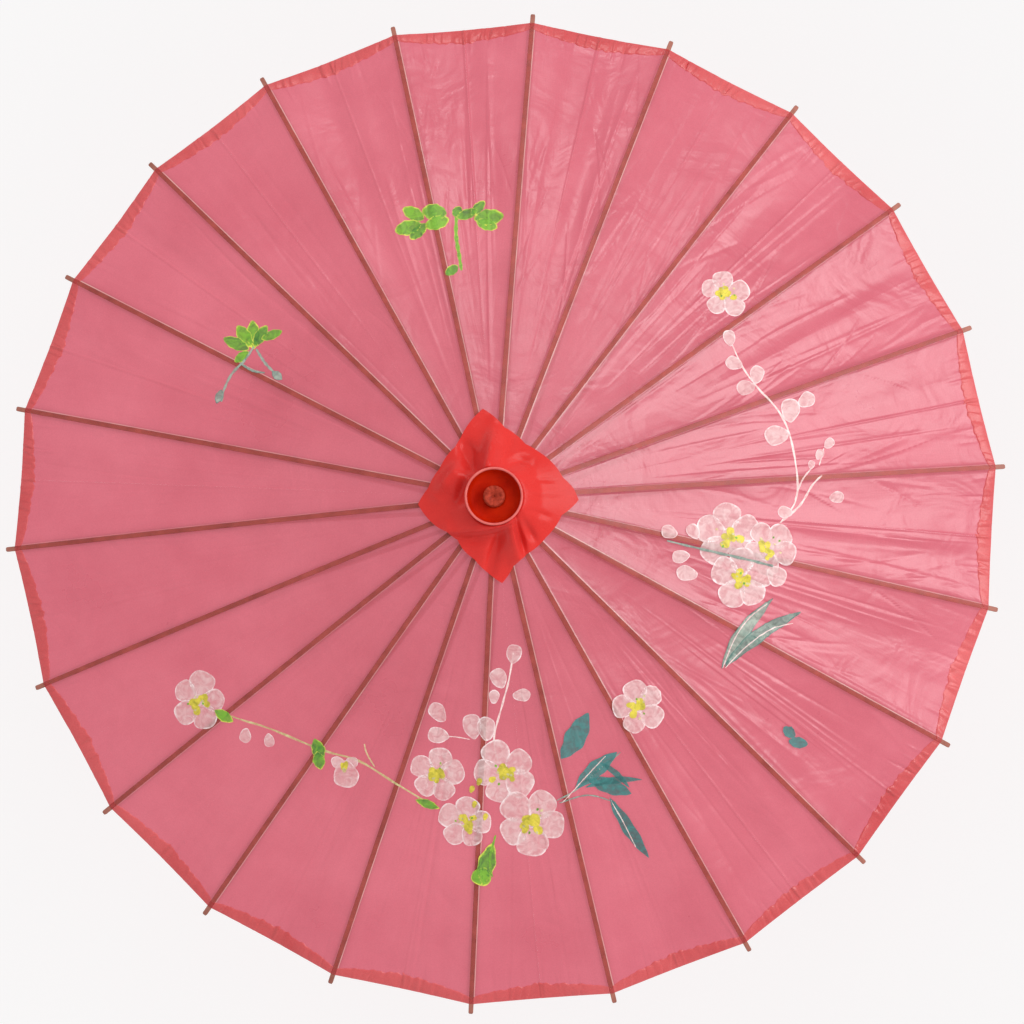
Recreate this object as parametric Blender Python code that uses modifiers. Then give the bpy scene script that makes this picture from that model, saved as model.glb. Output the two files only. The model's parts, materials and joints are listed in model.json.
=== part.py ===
"""Folding parasol with a fabric canopy on 22 bamboo ribs, modelled open.

The shaft stands along +Z with the centre of the handle's flat end at the origin.  Every rib turns on the notch
wire at the top of the shaft.  Every stretcher turns on a pin in its rib's fork, and its hooked foot seats on the
runner wire.  Sliding the runner down the shaft folds ribs and stretchers down against the shaft.
"""

import math

import bmesh
import bpy
from mathutils import Matrix, Vector

MM = 0.001

# Overall
SPAN = 820 * MM  # across opposite rib tips, open
RIBS = 22
HALF_BAY = math.pi / RIBS
FIRST_RIB = math.radians(86.45)  # azimuth of rib_01; the others follow clockwise
GAP = 0.3 * MM  # left between pieces that touch on the real object

# Ribs: x runs along the chord from hinge to tip, v rises from the chord
OPEN_DROP = math.radians(18.0)  # chord below horizontal, open
CLOSED_DROP = math.radians(88.6)  # chord below horizontal, closed
HINGE_RADIUS = 15.5 * MM
RIB_LENGTH = (SPAN / 2 - HINGE_RADIUS) / math.cos(OPEN_DROP)
RIB_BOW = 6 * MM
RIB_DEPTH_HEAD = 4.5 * MM
RIB_DEPTH_TIP = 3.2 * MM
RIB_WIDTH_HEAD = 3.8 * MM
RIB_WIDTH_MIDDLE = 4.4 * MM
RIB_WIDTH_TIP = 3.8 * MM
RIB_TONGUE_WIDTH = 2.2 * MM
RIB_SHOULDER = 6.5 * MM  # where the narrow head widens into the blade
BLADE_STEPS = 6
FORK_AT = 195 * MM
FORK_PIN_HEIGHT = 0.9 * MM  # above the rib's underside
FORK_INBOARD = 5.6 * MM
FORK_OUTBOARD = 15.5 * MM
FORK_SLOT_WIDTH = 2.2 * MM
FORK_SLOT_DEPTH = 3.0 * MM
PIN_RADIUS = 0.6 * MM
EYE_RADIUS = 0.9 * MM
EYE_FACETS = 10

# Stretchers: u runs from the foot to the fork pin, v points to the side facing the shaft when folded
STRETCHER_LENGTH = 205 * MM
STRETCHER_DEPTH = 3.0 * MM
STRETCHER_WIDTH = 3.4 * MM
STRETCHER_TONGUE_WIDTH = 1.6 * MM
STRETCHER_END_RADIUS = 1.7 * MM
FOOT_WIDTH = 1.7 * MM
FOOT_TONGUE = 23 * MM
SEAT_DEPTH = 0.95 * MM  # clear distance between the wire's centre and the hook

# Top notch and runner
NOTCH_RADIUS = 18.5 * MM
NOTCH_HALF_HEIGHT = 3.2 * MM
NOTCH_NECK_RADIUS = 12.5 * MM
NOTCH_TOP = 12 * MM  # above the hinge circle
NOTCH_BOTTOM = -15 * MM
NOTCH_SLOT_WIDTH = 2.6 * MM
RUNNER_HINGE_RADIUS = 14.5 * MM
RUNNER_RADIUS = 17 * MM
RUNNER_HALF_HEIGHT = 4 * MM
RUNNER_BOTTOM = -28 * MM
RUNNER_SLOT_WIDTH = 2.2 * MM
SLOT_FLOOR = 11.5 * MM
CHANNEL_RADIUS = 0.9 * MM

# Shaft, handle, cup
SHAFT_RADIUS = 7.5 * MM
BORE_RADIUS = SHAFT_RADIUS + GAP
PITH_RADIUS = 2.6 * MM
PITH_DEPTH = 14 * MM
HANDLE_HEIGHT = 92 * MM
HANDLE_RADIUS = 12.5 * MM
HANDLE_FLOOR = 24 * MM
LOOP_HOLE_HEIGHT = 14 * MM
CORD_RADIUS = 1.2 * MM
CUP_RADIUS = 22.25 * MM
CUP_INNER_RADIUS = 20 * MM
CUP_HEIGHT = 14 * MM
CUP_FLOOR = 3 * MM
STUB_BELOW_RIM = 3 * MM

# Canopy
CLOTH = 0.45 * MM
TIP_SHOWING = 9.5 * MM  # bare rib beyond the hem
BAY_SAG = 5 * MM
CANOPY_HOLE = NOTCH_NECK_RADIUS + 0.4 * MM
CANOPY_EDGE_HEIGHT = 7 * MM
CANOPY_START = 4.5 * MM  # first place along the rib that the cloth rests on
HEM_AT_RIB = 6 * MM
HEM_AT_BAY = 11 * MM
CAP_HALF_DIAGONAL = 64 * MM
CAP_THICKNESS = 0.8 * MM
CAP_TURN = math.radians(4)

# Spring catch, in its own plane: x outward from the pin, y up
CATCH_LENGTH = 45 * MM
CATCH_WIDTH = 3.4 * MM
CATCH_PIN_FROM_AXIS = 4.3 * MM
CATCH_PIN_RADIUS = 0.8 * MM
CATCH_SLOT_FLOOR = 1.8 * MM
CATCH_SLOT_WIDTH = 4.2 * MM
NOSE_REACH = 10 * MM  # from the shaft's axis

HUB_FACETS = 2 * RIBS
ROUND = 32  # facets round any other turned piece


def bow(x):
    """Height of the rib's underside above its chord."""
    t = x / RIB_LENGTH
    return 4 * RIB_BOW * t * (1 - t)


def rib_depth(x):
    return RIB_DEPTH_HEAD + (RIB_DEPTH_TIP - RIB_DEPTH_HEAD) * x / RIB_LENGTH


def rib_width(x):
    t = x / RIB_LENGTH
    if t < 0.15:
        return RIB_WIDTH_HEAD + (RIB_WIDTH_MIDDLE - RIB_WIDTH_HEAD) * t / 0.15
    return RIB_WIDTH_MIDDLE + (RIB_WIDTH_TIP - RIB_WIDTH_MIDDLE) * (t - 0.15) / 0.85


def in_plane(x, v, drop):
    """Radius and height, from the hinge circle, of a rib's point (x, v) with its chord at an angle."""
    radius = HINGE_RADIUS + x * math.cos(drop) + v * math.sin(drop)
    return radius, -x * math.sin(drop) + v * math.cos(drop)


FORK_V = bow(FORK_AT) + FORK_PIN_HEIGHT


def runner_drop(drop):
    """Drop of the runner wire below the hinge circle, and the stretcher's angle, for a chord angle."""
    radius, height = in_plane(FORK_AT, FORK_V, drop)
    angle = math.acos((radius - RUNNER_HINGE_RADIUS) / STRETCHER_LENGTH)
    return STRETCHER_LENGTH * math.sin(angle) - height, angle


OPEN_RUNNER_DROP, OPEN_STRETCHER = runner_drop(OPEN_DROP)
CLOSED_RUNNER_DROP, CLOSED_STRETCHER = runner_drop(CLOSED_DROP)

# Closed, the runner stops 1 mm above the handle, which sets the height of the hinge circle
HINGE_HEIGHT = HANDLE_HEIGHT + 1 * MM - RUNNER_BOTTOM + CLOSED_RUNNER_DROP
RUNNER_HEIGHT = HINGE_HEIGHT - OPEN_RUNNER_DROP
CUP_BOTTOM = HINGE_HEIGHT + NOTCH_TOP + 2 * GAP + CAP_THICKNESS
SHAFT_TOP = CUP_BOTTOM + CUP_HEIGHT - STUB_BELOW_RIM
CATCH_PIN_HEIGHT = RUNNER_HEIGHT + RUNNER_BOTTOM - GAP - CATCH_LENGTH
STOP_PIN_HEIGHT = RUNNER_HEIGHT + RUNNER_HALF_HEIGHT + GAP + 1 * MM
NAIL_HEIGHT = HINGE_HEIGHT - 9 * MM

MATERIALS = {
    "bamboo": ((0.55, 0.26, 0.13), 0.5, 0.0),
    "shaft_bamboo": ((0.62, 0.40, 0.19), 0.45, 0.0),
    "pink_cloth": ((0.80, 0.22, 0.28), 0.45, 0.0),
    "hem_cloth": ((0.70, 0.09, 0.10), 0.5, 0.0),
    "cap_cloth": ((0.76, 0.06, 0.05), 0.4, 0.0),
    "red_lacquer": ((0.50, 0.02, 0.01), 0.25, 0.0),
    "turned_wood": ((0.52, 0.30, 0.14), 0.5, 0.0),
    "dark_wood": ((0.20, 0.05, 0.03), 0.35, 0.0),
    "thread": ((0.60, 0.08, 0.07), 0.8, 0.0),
    "steel": ((0.60, 0.60, 0.58), 0.35, 1.0),
    "cord": ((0.55, 0.05, 0.05), 0.8, 0.0),
}


def clear_scene():
    for obj in list(bpy.data.objects):
        bpy.data.objects.remove(obj, do_unlink=True)


def make_collection(name):
    collection = bpy.data.collections.new(name)
    bpy.context.scene.collection.children.link(collection)
    return collection


def make_material(name):
    colour, roughness, metallic = MATERIALS[name]
    material = bpy.data.materials.new(name)
    material.use_nodes = True
    shader = material.node_tree.nodes["Principled BSDF"]
    shader.inputs["Base Color"].default_value = (*colour, 1.0)
    shader.inputs["Roughness"].default_value = roughness
    shader.inputs["Metallic"].default_value = metallic
    material.diffuse_color = (*colour, 1.0)
    return material


clear_scene()
PARTS = make_collection("folding_parasol")
CUTTERS = make_collection("cutters")


def add_part(name, data, material, location=(0, 0, 0), smooth=False):
    """Puts a mesh or curve in the parts' collection with its own material."""
    obj = bpy.data.objects.new(name, data)
    obj.location = location
    if not data.materials:
        data.materials.append(make_material(material))
    if smooth and isinstance(data, bpy.types.Mesh):
        data.shade_smooth()
        data.set_sharp_from_angle(angle=math.radians(35))
    PARTS.objects.link(obj)
    return obj


def add_cutter(name, mesh):
    obj = bpy.data.objects.new(name, mesh)
    obj.hide_render = True
    obj.display_type = "WIRE"
    CUTTERS.objects.link(obj)
    return obj


def boolean(obj, cutter, operation="DIFFERENCE"):
    modifier = obj.modifiers.new(cutter.name, "BOOLEAN")
    modifier.operation = operation
    modifier.solver = "EXACT"
    modifier.object = cutter


def mesh_from(name, build):
    """A mesh made by a function that fills a bmesh."""
    mesh = bpy.data.meshes.new(name)
    shape = bmesh.new()
    build(shape)
    bmesh.ops.recalc_face_normals(shape, faces=shape.faces)
    shape.to_mesh(mesh)
    shape.free()
    return mesh


def add_box(shape, size, matrix):
    bmesh.ops.create_cube(shape, size=1.0, matrix=matrix @ Matrix.Diagonal((*size, 1.0)))


def add_rod(shape, radius, length, matrix, segments=12):
    """A closed cylinder along the matrix's Z axis, centred on its origin."""
    bmesh.ops.create_cone(
        shape, cap_ends=True, segments=segments, radius1=radius, radius2=radius, depth=length, matrix=matrix
    )


ALONG_Y = Matrix.Rotation(math.radians(90), 4, "X")


def cross_rod(radius, length, location, segments=12):
    """A function that adds a rod lying along Y to a bmesh."""
    matrix = Matrix.Translation(location) @ ALONG_Y
    return lambda shape: add_rod(shape, radius, length, matrix, segments)


def evaluated_mesh(obj, name):
    """The mesh of an object with its modifiers, free of the object."""
    graph = bpy.context.evaluated_depsgraph_get()
    mesh = bpy.data.meshes.new_from_object(obj.evaluated_get(graph))
    mesh.name = name
    return mesh


def turned(name, profile, material, height=0.0, facets=ROUND):
    """A turned piece: the profile's (radius, height) points run down the outside, top to bottom."""
    mesh = bpy.data.meshes.new(name)
    points = [(radius, 0.0, z) for radius, z in profile]
    closed = profile[0][0] > 0
    edges = [(i, i + 1) for i in range(len(points) - 1)]
    if closed:
        edges.append((len(points) - 1, 0))
    mesh.from_pydata(points, edges, [])
    obj = add_part(name, mesh, material, (0, 0, height))
    screw = obj.modifiers.new("turn", "SCREW")
    screw.steps = screw.render_steps = facets
    screw.use_merge_vertices = True
    screw.merge_threshold = 0.00001
    screw.use_smooth_shade = True
    return obj


def ring_wire(name, ring_radius, wire_radius, material, height):
    """A wire ring round the shaft, straight where it passes each rib and bent between them."""
    curve = bpy.data.curves.new(name, "CURVE")
    curve.dimensions = "3D"
    curve.bevel_depth = wire_radius
    curve.bevel_resolution = 1
    spline = curve.splines.new("POLY")
    spline.points.add(RIBS - 1)
    bend_radius = ring_radius / math.cos(HALF_BAY)
    for index, point in enumerate(spline.points):
        angle = rib_azimuth(-index) + HALF_BAY
        point.co = (bend_radius * math.cos(angle), bend_radius * math.sin(angle), 0, 1)
    spline.use_cyclic_u = True
    return add_part(name, curve, material, (0, 0, height))


def channel_mesh(name, ring_radius, height):
    """A ring-shaped cutter for a wire's channel."""
    bpy.ops.mesh.primitive_torus_add(
        major_segments=RIBS,
        minor_segments=6,
        major_radius=ring_radius / math.cos(HALF_BAY),
        minor_radius=CHANNEL_RADIUS,
        location=(0, 0, 0),
    )
    torus = bpy.context.object
    mesh = torus.data
    mesh.name = name
    mesh.transform(Matrix.Translation((0, 0, height)) @ Matrix.Rotation(FIRST_RIB + HALF_BAY, 4, "Z"))
    bpy.data.objects.remove(torus)
    return mesh


def slot_mesh(name, width, inner, outer, low, high):
    """One upright radial box for each rib."""

    def build(shape):
        size = (outer - inner, width, high - low)
        centre = ((outer + inner) / 2, 0, (high + low) / 2)
        for index in range(RIBS):
            add_box(shape, size, Matrix.Rotation(rib_azimuth(index), 4, "Z") @ Matrix.Translation(centre))

    return mesh_from(name, build)


def rib_azimuth(index):
    return FIRST_RIB - 2 * math.pi * index / RIBS


def loft(name, stations):
    """A bar of rectangular sections, each given as (position, low side, high side, width)."""

    def build(shape):
        rings = []
        for x, low, high, width in stations:
            half = width / 2
            corners = [(x, -half, low), (x, half, low), (x, half, high), (x, -half, high)]
            rings.append([shape.verts.new(corner) for corner in corners])
        for a, b in zip(rings, rings[1:]):
            for i in range(4):
                j = (i + 1) % 4
                shape.faces.new((a[i], a[j], b[j], b[i]))
        shape.faces.new(rings[0])
        shape.faces.new(rings[-1])

    return mesh_from(name, build)


def blade_places():
    """Places along the rib where its outline bends; the cloth bends at the same ones."""
    length = RIB_LENGTH - 1.5 * MM - RIB_SHOULDER
    return [RIB_SHOULDER + length * step / BLADE_STEPS for step in range(BLADE_STEPS + 1)]


def rib_stations():
    """Sections of a rib in its own frame: hinge at the origin, chord along X."""
    tongue = RIB_TONGUE_WIDTH
    stations = [
        (-1.9 * MM, -0.8 * MM, 0.8 * MM, tongue),
        (-1.1 * MM, -1.7 * MM, 1.7 * MM, tongue),
        (0.8 * MM, -1.9 * MM, 2.4 * MM, tongue),
        (3.0 * MM, -1.4 * MM, 4.2 * MM, tongue),
        (4.8 * MM, -0.4 * MM, bow(4.8 * MM) + rib_depth(0), tongue),
    ]
    stations += [(x, bow(x), bow(x) + rib_depth(x), rib_width(x)) for x in blade_places()]
    stations.append((RIB_LENGTH, 0.8 * MM, RIB_DEPTH_TIP - 0.8 * MM, RIB_WIDTH_TIP - 1.2 * MM))
    return stations


def rib_mesh():
    """One rib with its head eye, its fork slot and the pin across the fork."""
    blank = add_cutter("rib_blank", loft("rib_blank", rib_stations()))
    eye = add_cutter("rib_eye", mesh_from("rib_eye", cross_rod(EYE_RADIUS, 6 * MM, (0, 0, 0), EYE_FACETS)))
    underside = bow(FORK_AT)
    slot_size = (FORK_OUTBOARD + FORK_INBOARD, FORK_SLOT_WIDTH, FORK_SLOT_DEPTH + 2 * MM)
    slot_centre = (
        FORK_AT + (FORK_OUTBOARD - FORK_INBOARD) / 2,
        0,
        underside + FORK_SLOT_DEPTH / 2 - 1 * MM,
    )
    slot = add_cutter(
        "rib_fork", mesh_from("rib_fork", lambda shape: add_box(shape, slot_size, Matrix.Translation(slot_centre)))
    )
    pin_length = RIB_WIDTH_MIDDLE - 1.2 * MM
    pin = add_cutter(
        "rib_pin", mesh_from("rib_pin", cross_rod(PIN_RADIUS, pin_length, (FORK_AT, 0, FORK_V), segments=8))
    )
    boolean(blank, eye)
    boolean(blank, slot)
    boolean(blank, pin, "UNION")
    return evaluated_mesh(blank, "rib")


def stretcher_stations():
    """Sections of a stretcher in its own frame: fork pin at the origin, foot on -X."""
    length = STRETCHER_LENGTH
    depth = STRETCHER_DEPTH
    hook_top = 0.9 * MM
    seat = -SEAT_DEPTH
    foot_low = -depth
    body_start = FOOT_TONGUE + 7 * MM
    body_end = length - 15.5 * MM

    def low_side(u):
        return foot_low + depth * u / length

    stations = [
        (-2.4 * MM, foot_low + 0.8 * MM, hook_top - 0.4 * MM, FOOT_WIDTH),
        (-1.7 * MM, foot_low, hook_top, FOOT_WIDTH),
        (seat, foot_low, hook_top, FOOT_WIDTH),
        (seat + 0.02 * MM, foot_low, seat, FOOT_WIDTH),
        (1.2 * MM, foot_low, seat, FOOT_WIDTH),
        (9 * MM, low_side(9 * MM), -0.1 * MM, FOOT_WIDTH),
        (FOOT_TONGUE, low_side(FOOT_TONGUE), low_side(FOOT_TONGUE) + depth, FOOT_WIDTH),
    ]
    stations += [(u, low_side(u), low_side(u) + depth, STRETCHER_WIDTH) for u in (body_start, body_end)]
    end = STRETCHER_END_RADIUS
    tongue = STRETCHER_TONGUE_WIDTH
    stations += [
        (length - 13.5 * MM, 0.1 * MM, depth, tongue),
        (length - 1.5 * MM, -end, end + 0.2 * MM, tongue),
        (length + 0.8 * MM, -end + 0.2 * MM, end - 0.2 * MM, tongue),
        (length + end, -0.6 * MM, 0.6 * MM, tongue),
    ]
    return [(u - length, low, high, width) for u, low, high, width in stations]


def stretcher_mesh():
    """One stretcher with the eye that turns on the fork pin."""
    blank = add_cutter("stretcher_blank", loft("stretcher_blank", stretcher_stations()))
    eye = add_cutter("stretcher_eye", mesh_from("stretcher_eye", cross_rod(EYE_RADIUS, 6 * MM, (0, 0, 0), EYE_FACETS)))
    boolean(blank, eye)
    return evaluated_mesh(blank, "stretcher")


def place_ribs_and_stretchers():
    """Each rib's origin is on its hinge axis, each stretcher's on its fork pin."""
    rib = rib_mesh()
    stretcher = stretcher_mesh()
    fork_radius, fork_height = in_plane(FORK_AT, FORK_V, OPEN_DROP)
    for index in range(RIBS):
        azimuth = Matrix.Rotation(rib_azimuth(index), 4, "Z")
        hinge = azimuth @ Matrix.Translation((HINGE_RADIUS, 0, HINGE_HEIGHT))
        obj = add_part(f"rib_{index + 1:02d}", rib, "bamboo")
        obj.matrix_world = hinge @ Matrix.Rotation(OPEN_DROP, 4, "Y")
        fork = azimuth @ Matrix.Translation((fork_radius, 0, HINGE_HEIGHT + fork_height))
        obj = add_part(f"stretcher_{index + 1:02d}", stretcher, "bamboo")
        obj.matrix_world = fork @ Matrix.Rotation(-OPEN_STRETCHER, 4, "Y")


def top_notch():
    """Turned hub fixed to the shaft, slotted for the rib heads and grooved for their wire."""
    half = NOTCH_HALF_HEIGHT
    collar = SLOT_FLOOR - 0.7 * MM
    profile = [
        (NOTCH_NECK_RADIUS, NOTCH_TOP),
        (NOTCH_NECK_RADIUS, half),
        (NOTCH_RADIUS, half),
        (NOTCH_RADIUS, -half),
        (collar, -half),
        (collar - 0.8 * MM, NOTCH_BOTTOM),
        (BORE_RADIUS, NOTCH_BOTTOM),
        (BORE_RADIUS, NOTCH_TOP),
    ]
    hub = turned("top_notch", profile, "turned_wood", HINGE_HEIGHT, HUB_FACETS)
    hub.rotation_euler.z = FIRST_RIB
    low, high = HINGE_HEIGHT - 2 * half, HINGE_HEIGHT + half + 0.7 * MM
    slots = slot_mesh("notch_slots", NOTCH_SLOT_WIDTH, SLOT_FLOOR, NOTCH_RADIUS + 2 * MM, low, high)
    boolean(hub, add_cutter("notch_slots", slots))
    boolean(hub, add_cutter("notch_channel", channel_mesh("notch_channel", HINGE_RADIUS, HINGE_HEIGHT)))
    nail_hole = cross_rod(1.2 * MM, 4 * SLOT_FLOOR, (0, 0, NAIL_HEIGHT))
    boolean(hub, add_cutter("notch_nail_hole", mesh_from("notch_nail_hole", nail_hole)))
    ring_wire("notch_wire", HINGE_RADIUS, PIN_RADIUS, "steel", HINGE_HEIGHT)
    nail = mesh_from("notch_nail", cross_rod(0.9 * MM, 2 * collar - 0.4 * MM, (0, 0, 0)))
    add_part("notch_nail", nail, "steel", (0, 0, NAIL_HEIGHT), smooth=True)


def runner():
    """Sliding hub: a slotted flange that holds the stretcher feet on a wire, over a grip."""
    half = RUNNER_HALF_HEIGHT
    grip = SLOT_FLOOR - 0.9 * MM
    profile = [
        (RUNNER_RADIUS - 0.8 * MM, half),
        (RUNNER_RADIUS, half - 1.6 * MM),
        (RUNNER_RADIUS - 0.8 * MM, -half),
        (grip, -half),
        (grip, RUNNER_BOTTOM + 5 * MM),
        (grip + 1.4 * MM, RUNNER_BOTTOM + 3 * MM),
        (grip + 0.4 * MM, RUNNER_BOTTOM),
        (BORE_RADIUS, RUNNER_BOTTOM),
        (BORE_RADIUS, half),
    ]
    hub = turned("runner", profile, "turned_wood", RUNNER_HEIGHT, HUB_FACETS)
    hub.rotation_euler.z = FIRST_RIB
    low, high = RUNNER_HEIGHT - half - 0.7 * MM, RUNNER_HEIGHT + half + 0.7 * MM
    slots = slot_mesh("runner_slots", RUNNER_SLOT_WIDTH, SLOT_FLOOR, RUNNER_RADIUS + 2 * MM, low, high)
    boolean(hub, add_cutter("runner_slots", slots))
    channel = channel_mesh("runner_channel", RUNNER_HINGE_RADIUS, RUNNER_HEIGHT)
    boolean(hub, add_cutter("runner_channel", channel))
    ring_wire("runner_wire", RUNNER_HINGE_RADIUS, PIN_RADIUS, "steel", RUNNER_HEIGHT)


def shaft():
    """Bamboo pole from the handle's socket to the stub inside the cup, with the catch's slot."""
    bottom = HANDLE_FLOOR + GAP
    profile = [
        (0, SHAFT_TOP - PITH_DEPTH),
        (PITH_RADIUS, SHAFT_TOP - PITH_DEPTH),
        (PITH_RADIUS, SHAFT_TOP),
        (SHAFT_RADIUS - 0.8 * MM, SHAFT_TOP),
        (SHAFT_RADIUS, SHAFT_TOP - 0.8 * MM),
        (SHAFT_RADIUS, bottom + 0.8 * MM),
        (SHAFT_RADIUS - 0.8 * MM, bottom),
        (0, bottom),
    ]
    pole = turned("shaft", profile, "shaft_bamboo")
    slot_low = CATCH_PIN_HEIGHT - 2.6 * MM
    slot_high = CATCH_PIN_HEIGHT + CATCH_LENGTH + 1.2 * MM
    size = (2 * SHAFT_RADIUS, CATCH_SLOT_WIDTH, slot_high - slot_low)
    centre = (CATCH_SLOT_FLOOR + SHAFT_RADIUS, 0, (slot_low + slot_high) / 2)
    slot = mesh_from("catch_slot", lambda shape: add_box(shape, size, Matrix.Translation(centre)))
    boolean(pole, add_cutter("catch_slot", slot))
    holes = (
        ("catch_pin_hole", CATCH_PIN_RADIUS + GAP, (CATCH_PIN_FROM_AXIS, 0, CATCH_PIN_HEIGHT)),
        ("stop_pin_hole", 1.3 * MM, (0, 0, STOP_PIN_HEIGHT)),
        ("shaft_nail_hole", 1.2 * MM, (0, 0, NAIL_HEIGHT)),
    )
    for name, radius, location in holes:
        boolean(pole, add_cutter(name, mesh_from(name, cross_rod(radius, 4 * SHAFT_RADIUS, location))))
    stop = mesh_from("stop_pin", cross_rod(1 * MM, 22 * MM, (0, 0, 0)))
    add_part("stop_pin", stop, "steel", (0, 0, STOP_PIN_HEIGHT), smooth=True)


def circle_points(radius, count, centre=(0.0, 0.0)):
    turn = 2 * math.pi / count
    return [(centre[0] + radius * math.cos(k * turn), centre[1] + radius * math.sin(k * turn)) for k in range(count)]


def spring_catch():
    """Flat spring in the shaft whose nose holds the runner up; it turns on the catch pin."""
    eye = 2 * MM
    start, stop = math.radians(120), math.radians(420)
    outline = [
        (eye * math.cos(start + (stop - start) * k / 8), eye * math.sin(start + (stop - start) * k / 8))
        for k in range(9)
    ]
    nose = NOSE_REACH - CATCH_PIN_FROM_AXIS
    outline += [
        (1.75 * MM, CATCH_LENGTH - 10 * MM),
        (nose, CATCH_LENGTH - 2.5 * MM),
        (nose, CATCH_LENGTH),
        (0.65 * MM, CATCH_LENGTH),
    ]
    curve = bpy.data.curves.new("spring_catch", "CURVE")
    curve.dimensions = "2D"
    curve.fill_mode = "BOTH"
    curve.extrude = CATCH_WIDTH / 2
    for points in (outline, circle_points(CATCH_PIN_RADIUS + GAP, 10)):
        spline = curve.splines.new("POLY")
        spline.points.add(len(points) - 1)
        for point, (x, y) in zip(spline.points, points):
            point.co = (x, y, 0, 1)
        spline.use_cyclic_u = True
    catch = add_part("spring_catch", curve, "steel", (CATCH_PIN_FROM_AXIS, 0, CATCH_PIN_HEIGHT))
    catch.rotation_euler = (math.radians(90), 0, 0)
    reach = math.sqrt(SHAFT_RADIUS**2 - (CATCH_PIN_FROM_AXIS + CATCH_PIN_RADIUS) ** 2)
    pin = mesh_from("catch_pin", cross_rod(CATCH_PIN_RADIUS, 2 * (reach - GAP), (0, 0, 0)))
    add_part("catch_pin", pin, "steel", (CATCH_PIN_FROM_AXIS, 0, CATCH_PIN_HEIGHT), smooth=True)


def ferrule_cup():
    """Turned cup over the top, with the shaft's cut end standing in its hollow."""
    profile = [
        (CUP_INNER_RADIUS + 0.6 * MM, CUP_HEIGHT),
        (CUP_RADIUS - 0.6 * MM, CUP_HEIGHT),
        (CUP_RADIUS, CUP_HEIGHT - 0.8 * MM),
        (CUP_RADIUS, CUP_HEIGHT - 4 * MM),
        (CUP_RADIUS - 2.4 * MM, 1.2 * MM),
        (CUP_RADIUS - 3.4 * MM, 0),
        (BORE_RADIUS, 0),
        (BORE_RADIUS, CUP_FLOOR),
        (CUP_INNER_RADIUS - 3 * MM, CUP_FLOOR),
        (CUP_INNER_RADIUS - 0.6 * MM, CUP_FLOOR + 2.4 * MM),
        (CUP_INNER_RADIUS, CUP_HEIGHT - 0.6 * MM),
    ]
    turned("ferrule_cup", profile, "red_lacquer", CUP_BOTTOM)


def canopy_section():
    """Radius and height of the cloth's underside over a rib, from the notch to the hem."""
    section = [(CANOPY_HOLE, CANOPY_EDGE_HEIGHT)]
    for x in [CANOPY_START, *blade_places()[1:-1], RIB_LENGTH - TIP_SHOWING]:
        section.append(in_plane(x, bow(x) + rib_depth(x) + GAP, OPEN_DROP))
    return section


def bay_point(radius, height, index, place):
    """A point of the cloth beside rib `index`; place is 0 on the rib and 1 in the middle of the bay."""
    on_rib = 2.4 * MM / radius
    if place == 0:
        return polar(radius, height, rib_azimuth(index) + on_rib)
    if place == 2:
        return polar(radius, height, rib_azimuth(index) - on_rib)
    rise = (radius - CANOPY_HOLE) / (SPAN / 2 - CANOPY_HOLE)
    sag = BAY_SAG * rise**1.5
    return polar(radius * math.cos(HALF_BAY), height - sag, rib_azimuth(index) + HALF_BAY)


def polar(radius, height, azimuth):
    return Vector((radius * math.cos(azimuth), radius * math.sin(azimuth), HINGE_HEIGHT + height))


def sheet(name, rings, thickness, material):
    """A closed sheet from rings of points, thickened on its upper side."""

    def build(shape):
        rows = [[shape.verts.new(point) for point in ring] for ring in rings]
        count = len(rows[0])
        for a, b in zip(rows, rows[1:]):
            for i in range(count):
                j = (i + 1) % count
                shape.faces.new((a[i], a[j], b[j], b[i]))

    mesh = bpy.data.meshes.new(name)
    shape = bmesh.new()
    build(shape)
    bmesh.ops.recalc_face_normals(shape, faces=shape.faces)
    if sum(face.normal.z for face in shape.faces) < 0:
        bmesh.ops.reverse_faces(shape, faces=shape.faces)
    shape.to_mesh(mesh)
    shape.free()
    obj = add_part(name, mesh, material, smooth=True)
    solidify = obj.modifiers.new("thickness", "SOLIDIFY")
    solidify.thickness = thickness
    solidify.offset = 1.0
    return obj


def canopy():
    """The cloth as it stands open: stretched over the ribs and sagging a little between them."""
    rings = []
    for radius, height in canopy_section():
        ring = []
        for index in range(RIBS):
            ring += [bay_point(radius, height, index, place) for place in (1, 0, 2)]
        rings.append(ring)
    sheet("canopy", rings, CLOTH, "pink_cloth")


def hem_band():
    """The folded edge of the cloth, narrow at the ribs and wide between them."""
    rim = RIB_LENGTH - TIP_SHOWING
    lift = GAP + CLOTH + GAP
    rings = []
    for share in (1.0, 0.0):
        ring = []
        for index in range(RIBS):
            for place in (1, 0, 2):
                depth = HEM_AT_BAY if place == 1 else HEM_AT_RIB
                x = rim - 0.2 * MM - depth * share
                radius, height = in_plane(x, bow(x) + rib_depth(x) + lift, OPEN_DROP)
                ring.append(bay_point(radius, height, index, place))
        rings.append(ring)
    sheet("hem_band", rings, CLOTH * 0.8, "hem_cloth")


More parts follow.
